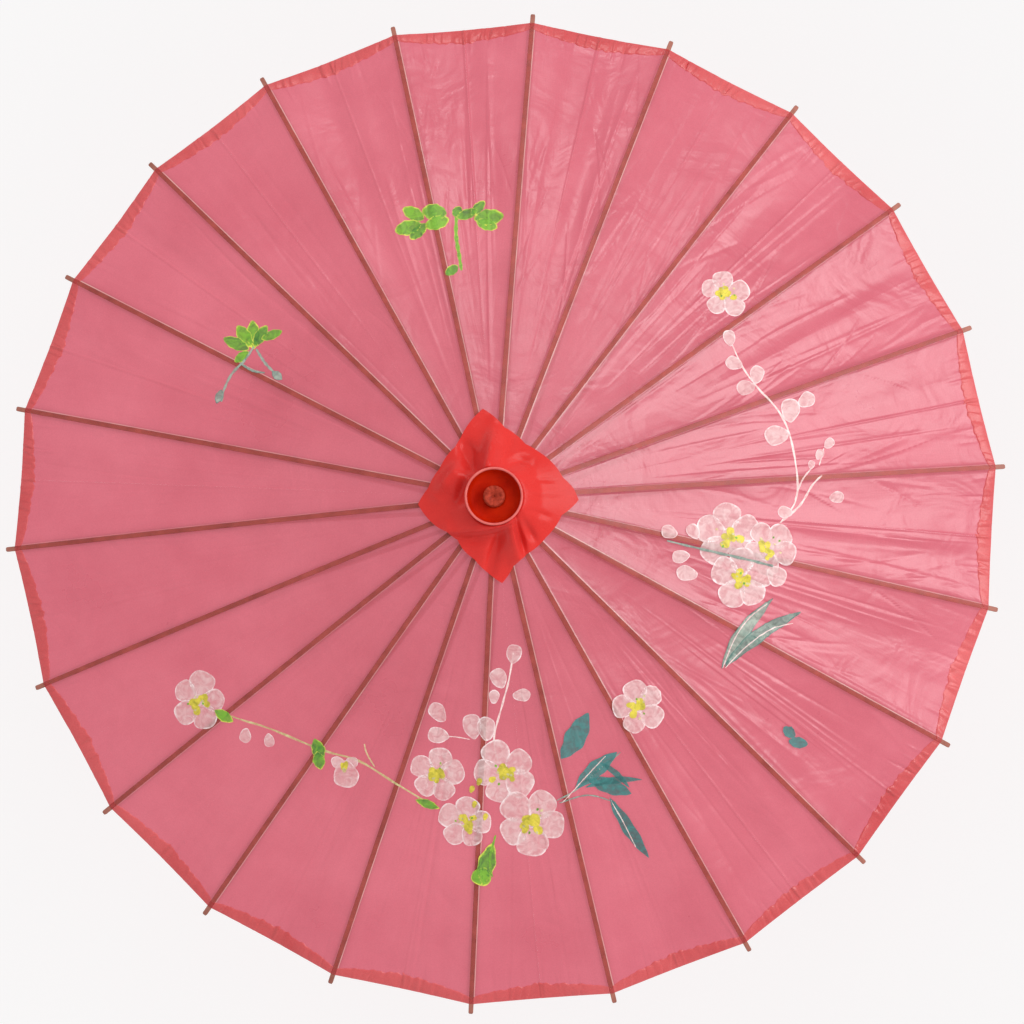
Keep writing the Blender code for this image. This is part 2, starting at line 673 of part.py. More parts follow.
def cap_cloth():
    """Square of cloth tied over the top, from the shaft out over the crest of the canopy."""
    columns = 32
    crest = NOTCH_TOP + GAP
    section = canopy_section()
    foot_radius, foot_height = section[1]
    far_radius, far_height = section[2]
    slope = (far_height - foot_height) / (far_radius - foot_radius)
    clear = CLOTH + 1.4 * MM

    def height(radius):
        if radius <= NOTCH_NECK_RADIUS + 1.5 * MM:
            return crest
        level = foot_height + clear + slope * (radius - foot_radius)
        if radius >= foot_radius + 6 * MM:
            return level
        share = (radius - NOTCH_NECK_RADIUS - 1.5 * MM) / (foot_radius + 6 * MM - NOTCH_NECK_RADIUS - 1.5 * MM)
        end = foot_height + clear + slope * 6 * MM
        return crest + (end - crest) * share

    def edge(angle):
        return CAP_HALF_DIAGONAL / (abs(math.cos(angle)) + abs(math.sin(angle)))

    rings = []
    inner = BORE_RADIUS + 0.2 * MM
    for share in (0.0, 0.12, 0.28, 0.5, 0.75, 1.0):
        ring = []
        for k in range(columns):
            angle = 2 * math.pi * k / columns
            fixed = inner + share * (CAP_HALF_DIAGONAL / math.sqrt(2) - inner)
            spread = share * share * (edge(angle) - CAP_HALF_DIAGONAL / math.sqrt(2))
            radius = fixed + spread
            ring.append(polar(radius, height(radius), angle + CAP_TURN))
        rings.append(ring)
    sheet("cap_cloth", rings, CAP_THICKNESS, "cap_cloth")


def handle():
    """Turned grip with a flat end, a socket for the shaft and a cross hole for the cord."""
    profile = [
        (HANDLE_RADIUS - 2.2 * MM, HANDLE_HEIGHT),
        (HANDLE_RADIUS - 1.2 * MM, HANDLE_HEIGHT - 1 * MM),
        (HANDLE_RADIUS - 1.2 * MM, HANDLE_HEIGHT - 5 * MM),
        (HANDLE_RADIUS - 2.2 * MM, HANDLE_HEIGHT - 7 * MM),
        (HANDLE_RADIUS - 1.4 * MM, HANDLE_HEIGHT - 20 * MM),
        (HANDLE_RADIUS - 0.4 * MM, HANDLE_HEIGHT - 45 * MM),
        (HANDLE_RADIUS, 12 * MM),
        (HANDLE_RADIUS, 2 * MM),
        (HANDLE_RADIUS - 2 * MM, 0),
        (0, 0),
    ]
    socket = [(0, HANDLE_FLOOR), (BORE_RADIUS, HANDLE_FLOOR), (BORE_RADIUS, HANDLE_HEIGHT)]
    grip = turned("handle", socket + profile, "dark_wood")
    hole = cross_rod(CORD_RADIUS + 0.5 * MM, 4 * HANDLE_RADIUS, (0, 0, LOOP_HOLE_HEIGHT))
    boolean(grip, add_cutter("cord_hole", mesh_from("cord_hole", hole)))


def hand_loop():
    """Wrist cord through the handle's cross hole, lying out to one side."""
    side = [(0, 0, 14), (0, 9, 14), (0, 17, 14), (6, 21, 13), (34, 17, 8), (62, 13, 5), (78, 6, 4)]
    points = side[1:] + [(82, 0, 4)] + [(x, -y, z) for x, y, z in reversed(side[1:])] + [side[0]]
    curve = bpy.data.curves.new("hand_loop", "CURVE")
    curve.dimensions = "3D"
    curve.bevel_depth = CORD_RADIUS
    curve.bevel_resolution = 1
    curve.resolution_u = 3
    spline = curve.splines.new("NURBS")
    spline.points.add(len(points) - 1)
    for point, (x, y, z) in zip(spline.points, points):
        point.co = (x * MM, y * MM, z * MM, 1)
    spline.use_cyclic_u = True
    spline.order_u = 3
    add_part("hand_loop", curve, "cord")


shaft()
spring_catch()
top_notch()
runner()
place_ribs_and_stretchers()
canopy()
hem_band()
ring_wire("cap_tie", NOTCH_NECK_RADIUS + 1.1 * MM, 0.5 * MM, "thread", HINGE_HEIGHT + 8.7 * MM)
cap_cloth()
ferrule_cup()
handle()
hand_loop()
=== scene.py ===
import json
import math
import random

import bpy
import numpy as np
from mathutils import Matrix, Vector


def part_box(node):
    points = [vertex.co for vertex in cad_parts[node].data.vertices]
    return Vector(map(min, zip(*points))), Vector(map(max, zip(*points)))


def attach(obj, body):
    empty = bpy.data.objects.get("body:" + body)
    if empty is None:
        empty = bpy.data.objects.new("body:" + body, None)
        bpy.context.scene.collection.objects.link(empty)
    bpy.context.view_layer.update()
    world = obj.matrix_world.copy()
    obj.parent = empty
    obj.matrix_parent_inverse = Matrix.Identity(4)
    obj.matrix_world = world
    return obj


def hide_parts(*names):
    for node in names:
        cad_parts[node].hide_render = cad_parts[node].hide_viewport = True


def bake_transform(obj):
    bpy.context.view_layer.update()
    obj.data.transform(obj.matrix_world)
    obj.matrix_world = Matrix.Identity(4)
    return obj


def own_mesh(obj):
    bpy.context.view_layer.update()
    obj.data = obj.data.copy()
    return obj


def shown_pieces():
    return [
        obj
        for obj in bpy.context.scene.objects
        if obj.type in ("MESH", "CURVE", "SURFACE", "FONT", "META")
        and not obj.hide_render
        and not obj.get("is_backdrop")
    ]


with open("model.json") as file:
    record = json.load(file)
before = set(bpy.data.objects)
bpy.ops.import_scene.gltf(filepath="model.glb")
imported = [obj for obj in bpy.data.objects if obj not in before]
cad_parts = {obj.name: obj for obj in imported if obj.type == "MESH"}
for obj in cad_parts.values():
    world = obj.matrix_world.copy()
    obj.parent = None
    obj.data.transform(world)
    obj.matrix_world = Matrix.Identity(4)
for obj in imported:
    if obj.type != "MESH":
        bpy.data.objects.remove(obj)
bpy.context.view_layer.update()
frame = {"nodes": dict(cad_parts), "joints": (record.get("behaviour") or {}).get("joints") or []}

MM = 0.001
RIBS = 22
HALF = math.pi / RIBS
DROP = math.radians(18)
HINGES = [Vector(j["pos_m"]) for j in frame["joints"] if j["name"].startswith("rib_hinge_")]
AZIMUTHS = [math.atan2(h.y, h.x) for h in HINGES]
HINGE_RADIUS = math.hypot(HINGES[0].x, HINGES[0].y)
HINGE_HEIGHT = HINGES[0].z
SPAN_RADIUS = 410 * MM
RIB_LENGTH = (SPAN_RADIUS - HINGE_RADIUS) / math.cos(DROP)
RIB_BOW = 6 * MM
DEPTH_HEAD = 4.5 * MM
DEPTH_TIP = 3.2 * MM
CLOTH_LIFT = 0.18 * MM  # cloth above the top of a rib
TIP_SHOWING = 9.5 * MM
CLOTH_START = 3 * MM
CLOTH_END = RIB_LENGTH - TIP_SHOWING
STRIP_HALF = 3.1 * MM  # half width of the cloth band that is glued to a rib
BAY_SAG = 5 * MM
RIB_HALF = 2.25 * MM  # half width of a rib, over which the cloth lies flat
SHOULDER = 0.45 * MM  # drop of the cloth beside a rib's edge


# ---------------------------------------------------------------- node helpers


def new_material(name):
    material = bpy.data.materials.new(name)
    material.use_nodes = True
    material.node_tree.nodes.clear()
    return material


def add(tree, kind, inputs=None, **settings):
    """A node with its settings, and with each input set to a value or linked to a socket."""
    made = tree.nodes.new(kind)
    for key, value in settings.items():
        setattr(made, key, value)
    for key, value in (inputs or {}).items():
        if isinstance(value, bpy.types.NodeSocket):
            tree.links.new(value, made.inputs[key])
        else:
            made.inputs[key].default_value = value
    return made


def rgb(red, green, blue):
    return (red, green, blue, 1.0)


def place(tree, stretch=(1, 1, 1)):
    """Object coordinates, scaled along each axis."""
    coordinates = add(tree, "ShaderNodeTexCoord").outputs["Object"]
    return add(tree, "ShaderNodeMapping", {"Vector": coordinates, "Scale": stretch}).outputs[0]


def threads(tree, stretch=(1, 1, 1)):
    """Cloth coordinates: metres along the rib, metres across it, and the bay."""
    woven = add(tree, "ShaderNodeAttribute", attribute_name="weave").outputs["Vector"]
    return add(tree, "ShaderNodeMapping", {"Vector": woven, "Scale": stretch}).outputs[0]


def noise(tree, vector, scale, detail=4.0, roughness=0.55, distortion=0.0):
    inputs = {
        "Vector": vector,
        "Scale": scale,
        "Detail": detail,
        "Roughness": roughness,
        "Distortion": distortion,
    }
    return add(tree, "ShaderNodeTexNoise", inputs).outputs["Fac"]


def ramp(tree, factor, *stops):
    made = add(tree, "ShaderNodeValToRGB", {"Fac": factor})
    elements = made.color_ramp.elements
    while len(elements) < len(stops):
        elements.new(0.5)
    for element, (position, colour) in zip(elements, stops):
        element.position = position
        element.color = colour
    return made.outputs["Color"]


def grey_ramp(tree, factor, low, high, dark=0.0, bright=1.0):
    """A factor stretched so that low becomes dark and high becomes bright."""
    inputs = {0: factor, 1: low, 2: high, 3: dark, 4: bright}
    return add(tree, "ShaderNodeMapRange", inputs).outputs[0]


def mix(tree, factor, first, second, blend="MIX"):
    inputs = {0: factor, 6: first, 7: second}
    return add(tree, "ShaderNodeMix", inputs, data_type="RGBA", blend_type=blend).outputs[2]


def calc(tree, operation, first, second=0.0):
    return add(tree, "ShaderNodeMath", {0: first, 1: second}, operation=operation).outputs[0]


def bump(tree, height, distance, strength=1.0, normal=None):
    inputs = {"Height": height, "Distance": distance, "Strength": strength}
    if normal is not None:
        inputs["Normal"] = normal
    return add(tree, "ShaderNodeBump", inputs).outputs["Normal"]


def output(tree, shader):
    add(tree, "ShaderNodeOutputMaterial", {"Surface": shader})


# ---------------------------------------------------------------- materials


def cloth_normal(tree, pucker):
    """Fine weave and the fine puckers that run along the bays."""
    warp = noise(tree, threads(tree, (60, 900, 1)), 1.0, 2.0)
    weft = noise(tree, threads(tree, (900, 60, 1)), 1.0, 2.0)
    weave = bump(tree, calc(tree, "ADD", warp, weft), 0.10 * MM, 0.7)
    puckers = noise(tree, threads(tree, (5, 55, 1)), 1.0, 3.0, 0.5, 0.9)
    fine = bump(tree, puckers, pucker, 0.75, weave)
    patches = noise(tree, place(tree), 20.0, 3.0, 0.5, 1.0)
    return bump(tree, patches, 4.5 * pucker, 0.9, fine)


def glued_line(tree):
    """One where the cloth is stuck to a rib, and zero on the free cloth."""
    woven = add(tree, "ShaderNodeAttribute", attribute_name="weave").outputs["Vector"]
    across = add(tree, "ShaderNodeSeparateXYZ", {0: woven}).outputs[1]
    waver = noise(tree, threads(tree, (60, 60, 1)), 1.0, 2.0)
    edge = calc(tree, "SUBTRACT", RIB_HALF - 0.4 * MM, calc(tree, "ABSOLUTE", across))
    edge = calc(tree, "ADD", edge, calc(tree, "MULTIPLY", calc(tree, "SUBTRACT", waver, 0.5), 0.4 * MM))
    return grey_ramp(tree, edge, -0.15 * MM, 0.15 * MM)


def painted_rib_highlight(tree):
    """Painted highlight: one along the edge of each rib's line that faces +X, towards the key light, where the cloth is
    painted pale as if lit there.
    """
    woven = add(tree, "ShaderNodeAttribute", attribute_name="weave").outputs["Vector"]
    across = add(tree, "ShaderNodeSeparateXYZ", {0: woven}).outputs[1]
    plan = add(tree, "ShaderNodeVectorMath", {0: place(tree), 1: (1, 1, 0)}, operation="MULTIPLY").outputs[0]
    outward = add(tree, "ShaderNodeVectorMath", {0: plan}, operation="NORMALIZE").outputs[0]
    turn = add(tree, "ShaderNodeVectorMath", {0: outward, 1: (0.34, -0.94, 0)}, operation="DOT_PRODUCT")
    side = grey_ramp(tree, across, -0.1 * MM, 0.1 * MM, -1.0, 1.0)
    facing = calc(tree, "MULTIPLY", turn.outputs["Value"], side)
    off = calc(tree, "ABSOLUTE", calc(tree, "SUBTRACT", calc(tree, "ABSOLUTE", across), RIB_HALF))
    line = grey_ramp(tree, off, 0.15 * MM, 0.6 * MM, 1.0, 0.0)
    waver = grey_ramp(tree, noise(tree, threads(tree, (30, 30, 1)), 1.0, 3.0), 0.3, 0.6, 0.35, 1.0)
    return calc(tree, "MULTIPLY", calc(tree, "MULTIPLY", line, waver), grey_ramp(tree, facing, 0.1, 0.7))


def cloth_material(name, deep, pale, tint, opacity, translucency, roughness, shine, pucker, glued, highlight_strength=0.0):
    """Woven cloth that lets light through; on the ribs its opacity falls to glued, where it is soaked. The last
    argument sets the strength of a painted highlight, a pale line beside each rib on the side facing the key light.
    """
    material = new_material(name)
    tree = material.node_tree
    cloud = noise(tree, place(tree), 9.0, 5.0, 0.6)
    streak = noise(tree, threads(tree, (14, 220, 1)), 1.0, 4.0)
    grain = noise(tree, place(tree), 900.0, 2.0)
    tone = calc(tree, "ADD", calc(tree, "MULTIPLY", cloud, 0.9), calc(tree, "MULTIPLY", streak, 0.1))
    tone = calc(tree, "ADD", calc(tree, "MULTIPLY", tone, 0.85), calc(tree, "MULTIPLY", grain, 0.15))
    # painted highlight: a pale line along the side of each rib's line that faces the key light
    highlight_mask = painted_rib_highlight(tree)
    colour = ramp(tree, tone, (0.3, rgb(*deep)), (0.7, rgb(*pale)))
    # the painted highlight's pale colour is mixed into the cloth's colour
    colour = mix(tree, calc(tree, "MULTIPLY", highlight_mask, highlight_strength), colour, rgb(1.0, 0.66, 0.58))
    normal = cloth_normal(tree, pucker)
    rough = grey_ramp(tree, cloud, 0.3, 0.7, roughness - 0.06, roughness + 0.08)
    face_inputs = {
        "Base Color": colour,
        "Roughness": rough,
        "Specular IOR Level": shine,
        "Sheen Weight": 0.08,
        "Sheen Roughness": 0.4,
        "Sheen Tint": rgb(1.0, 0.75, 0.78),
        "Normal": normal,
    }
    face = add(tree, "ShaderNodeBsdfPrincipled", face_inputs).outputs[0]
    glow = add(tree, "ShaderNodeBsdfTranslucent", {"Color": colour, "Normal": normal}).outputs[0]
    body = add(tree, "ShaderNodeMixShader", {0: translucency, 1: face, 2: glow}).outputs[0]
    cover = grey_ramp(tree, grain, 0.2, 0.8, opacity - 0.03, opacity + 0.03)
    # where the painted highlight lies, the glued line lets less of the rib show through
    stuck = calc(tree, "MULTIPLY", glued_line(tree), grey_ramp(tree, highlight_mask, 0.0, 1.0, 1.0, 0.4))
    cover = add(tree, "ShaderNodeMix", {0: stuck, 2: cover, 3: glued}).outputs[0]
    soaked = mix(tree, stuck, rgb(*tint), rgb(1.0, 0.78, 0.76))
    clear = add(tree, "ShaderNodeBsdfTransparent", {"Color": soaked}).outputs[0]
    output(tree, add(tree, "ShaderNodeMixShader", {0: cover, 1: clear, 2: body}).outputs[0])
    return material


def paint_material(name, inside, outline, opacity, roughness=0.5):
    """Brushed paint: the paint attribute holds nearness to the edge, place along the stroke and a tone."""
    material = new_material(name)
    tree = material.node_tree
    paint = add(tree, "ShaderNodeAttribute", attribute_name="paint").outputs["Vector"]
    parts = add(tree, "ShaderNodeSeparateXYZ", {0: paint})
    edge, tone = parts.outputs[0], parts.outputs[2]
    brush = noise(tree, place(tree), 150.0, 2.5, 0.5, 1.2)
    hair = noise(tree, place(tree), 900.0, 2.0)
    pressure = noise(tree, place(tree), 130.0, 2.0)
    ragged = calc(tree, "ADD", edge, calc(tree, "MULTIPLY", calc(tree, "SUBTRACT", brush, 0.5), 0.25))
    rim = grey_ramp(tree, ragged, 0.84, 0.98)
    rim = calc(tree, "MULTIPLY", rim, grey_ramp(tree, pressure, 0.35, 0.6, 0.15, 1.0))
    mottled = calc(tree, "ADD", calc(tree, "MULTIPLY", brush, 0.85), calc(tree, "MULTIPLY", tone, 0.3))
    mottled = calc(tree, "ADD", mottled, calc(tree, "MULTIPLY", hair, 0.1))
    fill = ramp(tree, mottled, (0.25, rgb(*inside[0])), (0.75, rgb(*inside[1])))
    colour = mix(tree, rim, fill, rgb(*outline))
    cover = grey_ramp(tree, brush, 0.3, 0.7, opacity[0], opacity[1])
    cover = add(tree, "ShaderNodeMix", {0: rim, 2: cover, 3: opacity[2]}).outputs[0]
    relief = bump(tree, hair, 0.15 * MM, 0.6, bump(tree, brush, 0.4 * MM, 0.6))
    inputs = {"Base Color": colour, "Roughness": roughness, "Alpha": cover, "Normal": relief}
    output(tree, add(tree, "ShaderNodeBsdfPrincipled", inputs).outputs[0])
    return material


def bamboo_material(name, dark, pale, stretch, roughness=0.5, shine=0.5):
    """Split bamboo: long fibres, darker pores and a faint gloss."""
    material = new_material(name)
    tree = material.node_tree
    fibres = noise(tree, place(tree, stretch), 1.0, 5.0, 0.6)
    blotch = noise(tree, place(tree), 25.0, 3.0)
    tone = calc(tree, "ADD", calc(tree, "MULTIPLY", fibres, 0.7), calc(tree, "MULTIPLY", blotch, 0.3))
    colour = ramp(tree, tone, (0.3, rgb(*dark)), (0.7, rgb(*pale)))
    rough = grey_ramp(tree, fibres, 0.3, 0.7, roughness - 0.1, roughness + 0.15)
    inputs = {
        "Base Color": colour,
        "Roughness": rough,
        "Specular IOR Level": shine,
        "Normal": bump(tree, fibres, 0.2 * MM, 0.5),
    }
    output(tree, add(tree, "ShaderNodeBsdfPrincipled", inputs).outputs[0])
    return material


def lacquer_material(name, dark, bright, gloss=0.3, coat=0.6):
    material = new_material(name)
    tree = material.node_tree
    ripple = noise(tree, place(tree), 60.0, 3.0)
    speck = noise(tree, place(tree), 700.0, 3.0)
    colour = ramp(tree, ripple, (0.3, rgb(*dark)), (0.7, rgb(*bright)))
    rough = grey_ramp(tree, speck, 0.3, 0.7, gloss - 0.08, gloss + 0.1)
    inputs = {
        "Base Color": colour,
        "Roughness": rough,
        "Specular IOR Level": 0.06,
        "Coat Weight": coat,
        "Coat Roughness": 0.12,
        "Normal": bump(tree, calc(tree, "ADD", ripple, speck), 0.1 * MM, 0.4),
    }
    output(tree, add(tree, "ShaderNodeBsdfPrincipled", inputs).outputs[0])
    return material


def steel_material(name):
    material = new_material(name)
    tree = material.node_tree
    drawn = noise(tree, place(tree, (300, 300, 300)), 1.0, 4.0)
    rust = noise(tree, place(tree), 120.0, 5.0)
    colour = ramp(tree, rust, (0.45, rgb(0.55, 0.54, 0.52)), (0.75, rgb(0.32, 0.25, 0.2)))
    inputs = {
        "Base Color": colour,
        "Metallic": 1.0,
        "Roughness": grey_ramp(tree, drawn, 0.3, 0.7, 0.25, 0.5),
        "Normal": bump(tree, drawn, 0.05 * MM, 0.5),
    }
    output(tree, add(tree, "ShaderNodeBsdfPrincipled", inputs).outputs[0])
    return material


def fibre_material(name, dark, pale, pitch):
    """Twisted thread or cord."""
    material = new_material(name)
    tree = material.node_tree
    twist_inputs = {"Vector": place(tree), "Scale": pitch, "Distortion": 1.5, "Detail": 2.0}
    twist = add(tree, "ShaderNodeTexWave", twist_inputs, bands_direction="DIAGONAL").outputs["Fac"]
    fuzz = noise(tree, place(tree), 1500.0, 3.0)
    tone = calc(tree, "ADD", calc(tree, "MULTIPLY", twist, 0.7), calc(tree, "MULTIPLY", fuzz, 0.3))
    inputs = {
        "Base Color": ramp(tree, tone, (0.2, rgb(*dark)), (0.8, rgb(*pale))),
        "Roughness": grey_ramp(tree, fuzz, 0.3, 0.7, 0.7, 0.95),
        "Sheen Weight": 0.3,
        "Normal": bump(tree, tone, 0.3 * MM, 0.7),
    }
    output(tree, add(tree, "ShaderNodeBsdfPrincipled", inputs).outputs[0])
    return material


# ---------------------------------------------------------------- the cloth's shape


def rib_line(x):
    """Radius and height of the cloth over a rib, at distance x from the hinge along the chord."""
    t = x / RIB_LENGTH
    rise = 4 * RIB_BOW * t * (1 - t) + DEPTH_HEAD + (DEPTH_TIP - DEPTH_HEAD) * t + CLOTH_LIFT
    radius = HINGE_RADIUS + x * math.cos(DROP) + rise * math.sin(DROP)
    height = HINGE_HEIGHT - x * math.sin(DROP) + rise * math.cos(DROP)
    return radius, height


LINE_X = np.linspace(-10 * MM, RIB_LENGTH + 5 * MM, 400)
LINE_RADIUS = rib_line(LINE_X)[0]


def half_bay(x):
    """Width of the cloth from a rib to the middle of the bay, along the taut chord."""
    return rib_line(x)[0] * math.sin(HALF) * math.cos(HALF)


def smooth(value, low, high):
    t = np.clip((value - low) / (high - low), 0, 1)
    return t * t * (3 - 2 * t)


def bay_strength(bay):
    """How creased a bay is: most towards +X +Y, least opposite."""
    middle = AZIMUTHS[bay % RIBS] - HALF
    return 0.45 + 0.55 * max(0.0, math.cos(middle - math.radians(30))) ** 0.7


def make_folds(bay):
    """Creases of one bay: long tension lines, slanting ones from the ribs, and short tucks at the hem."""
    chance = random.Random(100 + bay)
    strength = bay_strength(bay)
    folds = []
    for _ in range(5):  # broad soft waves
        g = chance.uniform(0.15, 0.85)
        start = chance.uniform(0.1, 0.28)
        height = chance.choice((-1, 1)) * chance.uniform(0.7, 1.7) * MM * (0.5 + 0.25 * strength)
        folds.append((start, g, 0.42, g + chance.uniform(-0.2, 0.2), chance.uniform(6, 14) * MM, height, 1.0))
    for _ in range(7):  # long lines from the crown to the rim
        g = chance.uniform(0.1, 0.9)
        start = chance.uniform(0.06, 0.24)
        end = chance.uniform(start + 0.1, 0.42)
        lean = chance.uniform(-0.14, 0.14)
        width = chance.uniform(1.0, 2.2) * MM
        height = chance.choice((-1, 1)) * chance.uniform(0.3, 0.95) * MM * (0.4 + 0.4 * strength)
        folds.append((start, g, end, g + lean, width, height, chance.uniform(0.4, 1.6)))
    for _ in range(int(14 * strength)):  # slanting lines that leave a rib
        side = chance.choice((0.03, 0.97))
        start = chance.uniform(0.12, 0.33)
        end = start + chance.uniform(0.05, 0.12)
        inward = chance.uniform(0.12, 0.4)
        target = side + inward if side < 0.5 else side - inward
        width = chance.uniform(0.9, 2.2) * MM
        height = chance.choice((-1, 1)) * chance.uniform(0.3, 0.85) * MM * 0.6 * strength
        folds.append((start, side, end, target, width, height, chance.uniform(0.4, 1.6)))
    for _ in range(8):  # tucks at the hem
        g = chance.uniform(0.06, 0.94)
        start = CLOTH_END - chance.uniform(12, 40) * MM
        width = chance.uniform(0.9, 2.0) * MM
        height = chance.choice((-1, 1)) * chance.uniform(0.25, 0.6) * MM
        folds.append((start, g, CLOTH_END + 10 * MM, g + chance.uniform(-0.04, 0.04), width, height, 1.0))
    return folds


FOLDS = [make_folds(bay) for bay in range(RIBS)]
PRESSED = [random.Random(900 + bay).uniform(0.1, 0.9) * MM for bay in range(RIBS)]
CREASES = [random.Random(500 + bay).uniform(0.25, 0.6) for bay in range(RIBS)]


def fold_height(bay, x, g):
    """Height of the creases of a bay at distance x along the ribs and share g across the bay."""
    total = np.zeros(np.broadcast(x, g).shape)
    across = 2 * half_bay(x)
    for start, g_start, end, g_end, width, height, lopsided in FOLDS[bay % RIBS]:
        t = (x - start) / (end - start)
        inside = np.clip(t, 0, 1)
        off = (g - (g_start + (g_end - g_start) * inside)) * across
        reach = np.where(off > 0, width * lopsided, width / lopsided)
        fade = smooth(t, -0.05, 0.35) * (1 - smooth(t, 0.7, 1.05))
        total += height * fade * np.exp(-((off / reach) ** 2))
    return total


def cloth_drop(rib, x, v):
    """How far the cloth lies below the taut chords, at signed offset v from rib."""
    width = half_bay(x)
    share = np.clip(np.abs(v) / width, 0, 1)
    loose = np.clip((np.abs(v) - RIB_HALF) / np.maximum(width - RIB_HALF, 1 * MM), 0, 1)
    radius = rib_line(x)[0]
    rise = np.clip((radius - 13 * MM) / (SPAN_RADIUS - 13 * MM), 0, 1)
    before = (rib - 1) % RIBS
    crease = np.where(v < 0, CREASES[rib], CREASES[before]) * rise
    hollow = loose * (2 - loose) * (1 - crease) + loose * crease
    sag = BAY_SAG * rise**1.5 * hollow
    shoulder = SHOULDER * smooth(np.abs(v), 1.75 * MM, 3.4 * MM) * np.clip(width / (12 * MM), 0, 1)
    off_rib = smooth(np.abs(v), 2.2 * MM, 6 * MM)
    pressed = np.where(v < 0, PRESSED[rib], PRESSED[before]) * smooth(radius, 90 * MM, 330 * MM)
    pressed = pressed * np.exp(-(((width - np.abs(v)) / (1.1 * MM)) ** 2))
    wave = np.where(
        v < 0,
        fold_height(rib, x, share / 2),
        fold_height(before, x, 1 - share / 2),
    )
    return sag + shoulder - wave * off_rib - pressed


def cloth_point(rib, x, v):
    """Point of the canopy's cloth; v runs counter-clockwise from the rib, along the taut chord."""
    radius, height = rib_line(x)
    outward = radius - np.abs(v) * math.tan(HALF)
    z = height - cloth_drop(rib, x, v)
    c, s = math.cos(AZIMUTHS[rib]), math.sin(AZIMUTHS[rib])
    return np.stack([outward * c - v * s, outward * s + v * c, z + 0 * v], -1)


def cloth_normal_at(rib, x, v):
    """Upward normal, from short steps along and across the rib that stay inside its half bays."""
    dx, dv = 0.3 * MM, 0.12 * MM
    limit = half_bay(x) - dv
    middle = np.clip(v, -limit, limit)
    a = cloth_point(rib, x + dx, middle) - cloth_point(rib, x - dx, middle)
    b = cloth_point(rib, x, middle + dv) - cloth_point(rib, x, middle - dv)
    normal = np.cross(a, b)
    return normal / np.linalg.norm(normal, axis=-1, keepdims=True)


def hem_depth(rib, v, x):
    """Width of the folded band at the rim: narrow on the ribs, widest in mid-bay."""
    share = np.clip(np.abs(v) / half_bay(x), 0, 1)
    wobble = 0.9 * np.sin(v * 410 + rib * 1.7) + 0.6 * np.sin(v * 930 + rib)
    return (4.4 + 9.0 * share**0.5 + wobble * share) * MM


def hem_gather(rib, v, share):
    """Height of the small gathers of the folded rim, slanting across it, between 0 and 1."""
    place = v + share * 2.5 * MM
    drift = 2.2 * np.sin(place * 150 + rib * 2.3) + 1.3 * np.sin(place * 61 + rib)
    phase = (place * 62 + drift * 0.3 + rib * 0.37) % 1.0
    return np.where(phase < 0.8, phase / 0.8, (1 - phase) / 0.2)


# ---------------------------------------------------------------- meshes


class Surface:
    """Grids and patches gathered into one mesh with normals, material slots and attributes."""

    def __init__(self):
        self.points = []
        self.normals = []
        self.faces = []
        self.slots = []
        self.weave = []
        self.paint = []
        self.count = 0

    def patch(self, points, normals, faces, slot, weave, paint):
        self.points.append(points)
        self.normals.append(normals)
        self.weave.append(weave)
        self.paint.append(paint)
        self.faces += [tuple(self.count + k for k in face) for face in faces]
        self.slots += [slot] * len(faces)
        self.count += len(points)

    def grid(self, points, normals, slot, weave):
        rows, columns = points.shape[:2]
        faces = grid_faces(rows, columns)
        flat = points.reshape(-1, 3)
        self.patch(flat, normals.reshape(-1, 3), faces, slot, weave.reshape(-1, 3), np.zeros_like(flat))

    def build(self, name, materials):
        mesh = bpy.data.meshes.new(name)
        points = np.concatenate(self.points)
        mesh.from_pydata(points.tolist(), [], self.faces)
        mesh.polygons.foreach_set("material_index", self.slots)
        mesh.polygons.foreach_set("use_smooth", [True] * len(self.faces))
        for label, values in (("weave", self.weave), ("paint", self.paint)):
            attribute = mesh.attributes.new(label, "FLOAT_VECTOR", "POINT")
            attribute.data.foreach_set("vector", np.concatenate(values).astype(np.float32).ravel())
        for material in materials:
            mesh.materials.append(material)
        mesh.normals_split_custom_set_from_vertices(np.concatenate(self.normals).tolist())
        made = bpy.data.objects.new(name, mesh)
        bpy.context.scene.collection.objects.link(made)
        return made


def grid_faces(rows, columns):
    """Quads of a grid whose first axis runs outwards and whose second runs counter-clockwise."""
    faces = []
    for r in range(rows - 1):
        for c in range(columns - 1):
            a = r * columns + c
            faces.append((a, a + columns, a + columns + 1, a + 1))
    return faces


def cloth_grid(surface, rib, x, v, slot):
    """Adds the cloth at x and v, arrays of one shape."""
    weave = np.stack([x, v, np.full_like(x, rib * 0.37)], -1)
    surface.grid(cloth_point(rib, x, v), cloth_normal_at(rib, x, v), slot, weave)


def strip_limits(x):
    return np.minimum(STRIP_HALF, half_bay(x))


def add_cloth_strip(surface, rib):
    x = np.linspace(CLOTH_START, CLOTH_END, 130)[:, None]
    share = np.linspace(-1, 1, 13)[None, :]
    v = share * strip_limits(x)
    cloth_grid(surface, rib, x + 0 * v, v, 0)


def wing_grid(rows, sign, columns):
    """x and v over half a bay, from the glued band to the mid-bay crease, with v increasing."""
    start = np.interp(STRIP_HALF / (math.sin(HALF) * math.cos(HALF)) + 0.2 * MM, LINE_RADIUS, LINE_X)
    x = np.linspace(start, CLOTH_END, rows)[:, None]
    share = 1 - (1 - np.linspace(0, 1, columns)[None, :]) ** 1.35
    v = STRIP_HALF + (half_bay(x) - STRIP_HALF) * share
    if sign < 0:
        v = -v[:, ::-1]
    return x + 0 * v, v


def add_cloth_wings(surface, rib):
    for sign in (-1, 1):
        x, v = wing_grid(150, sign, 46)
        cloth_grid(surface, rib, x, v, 0)


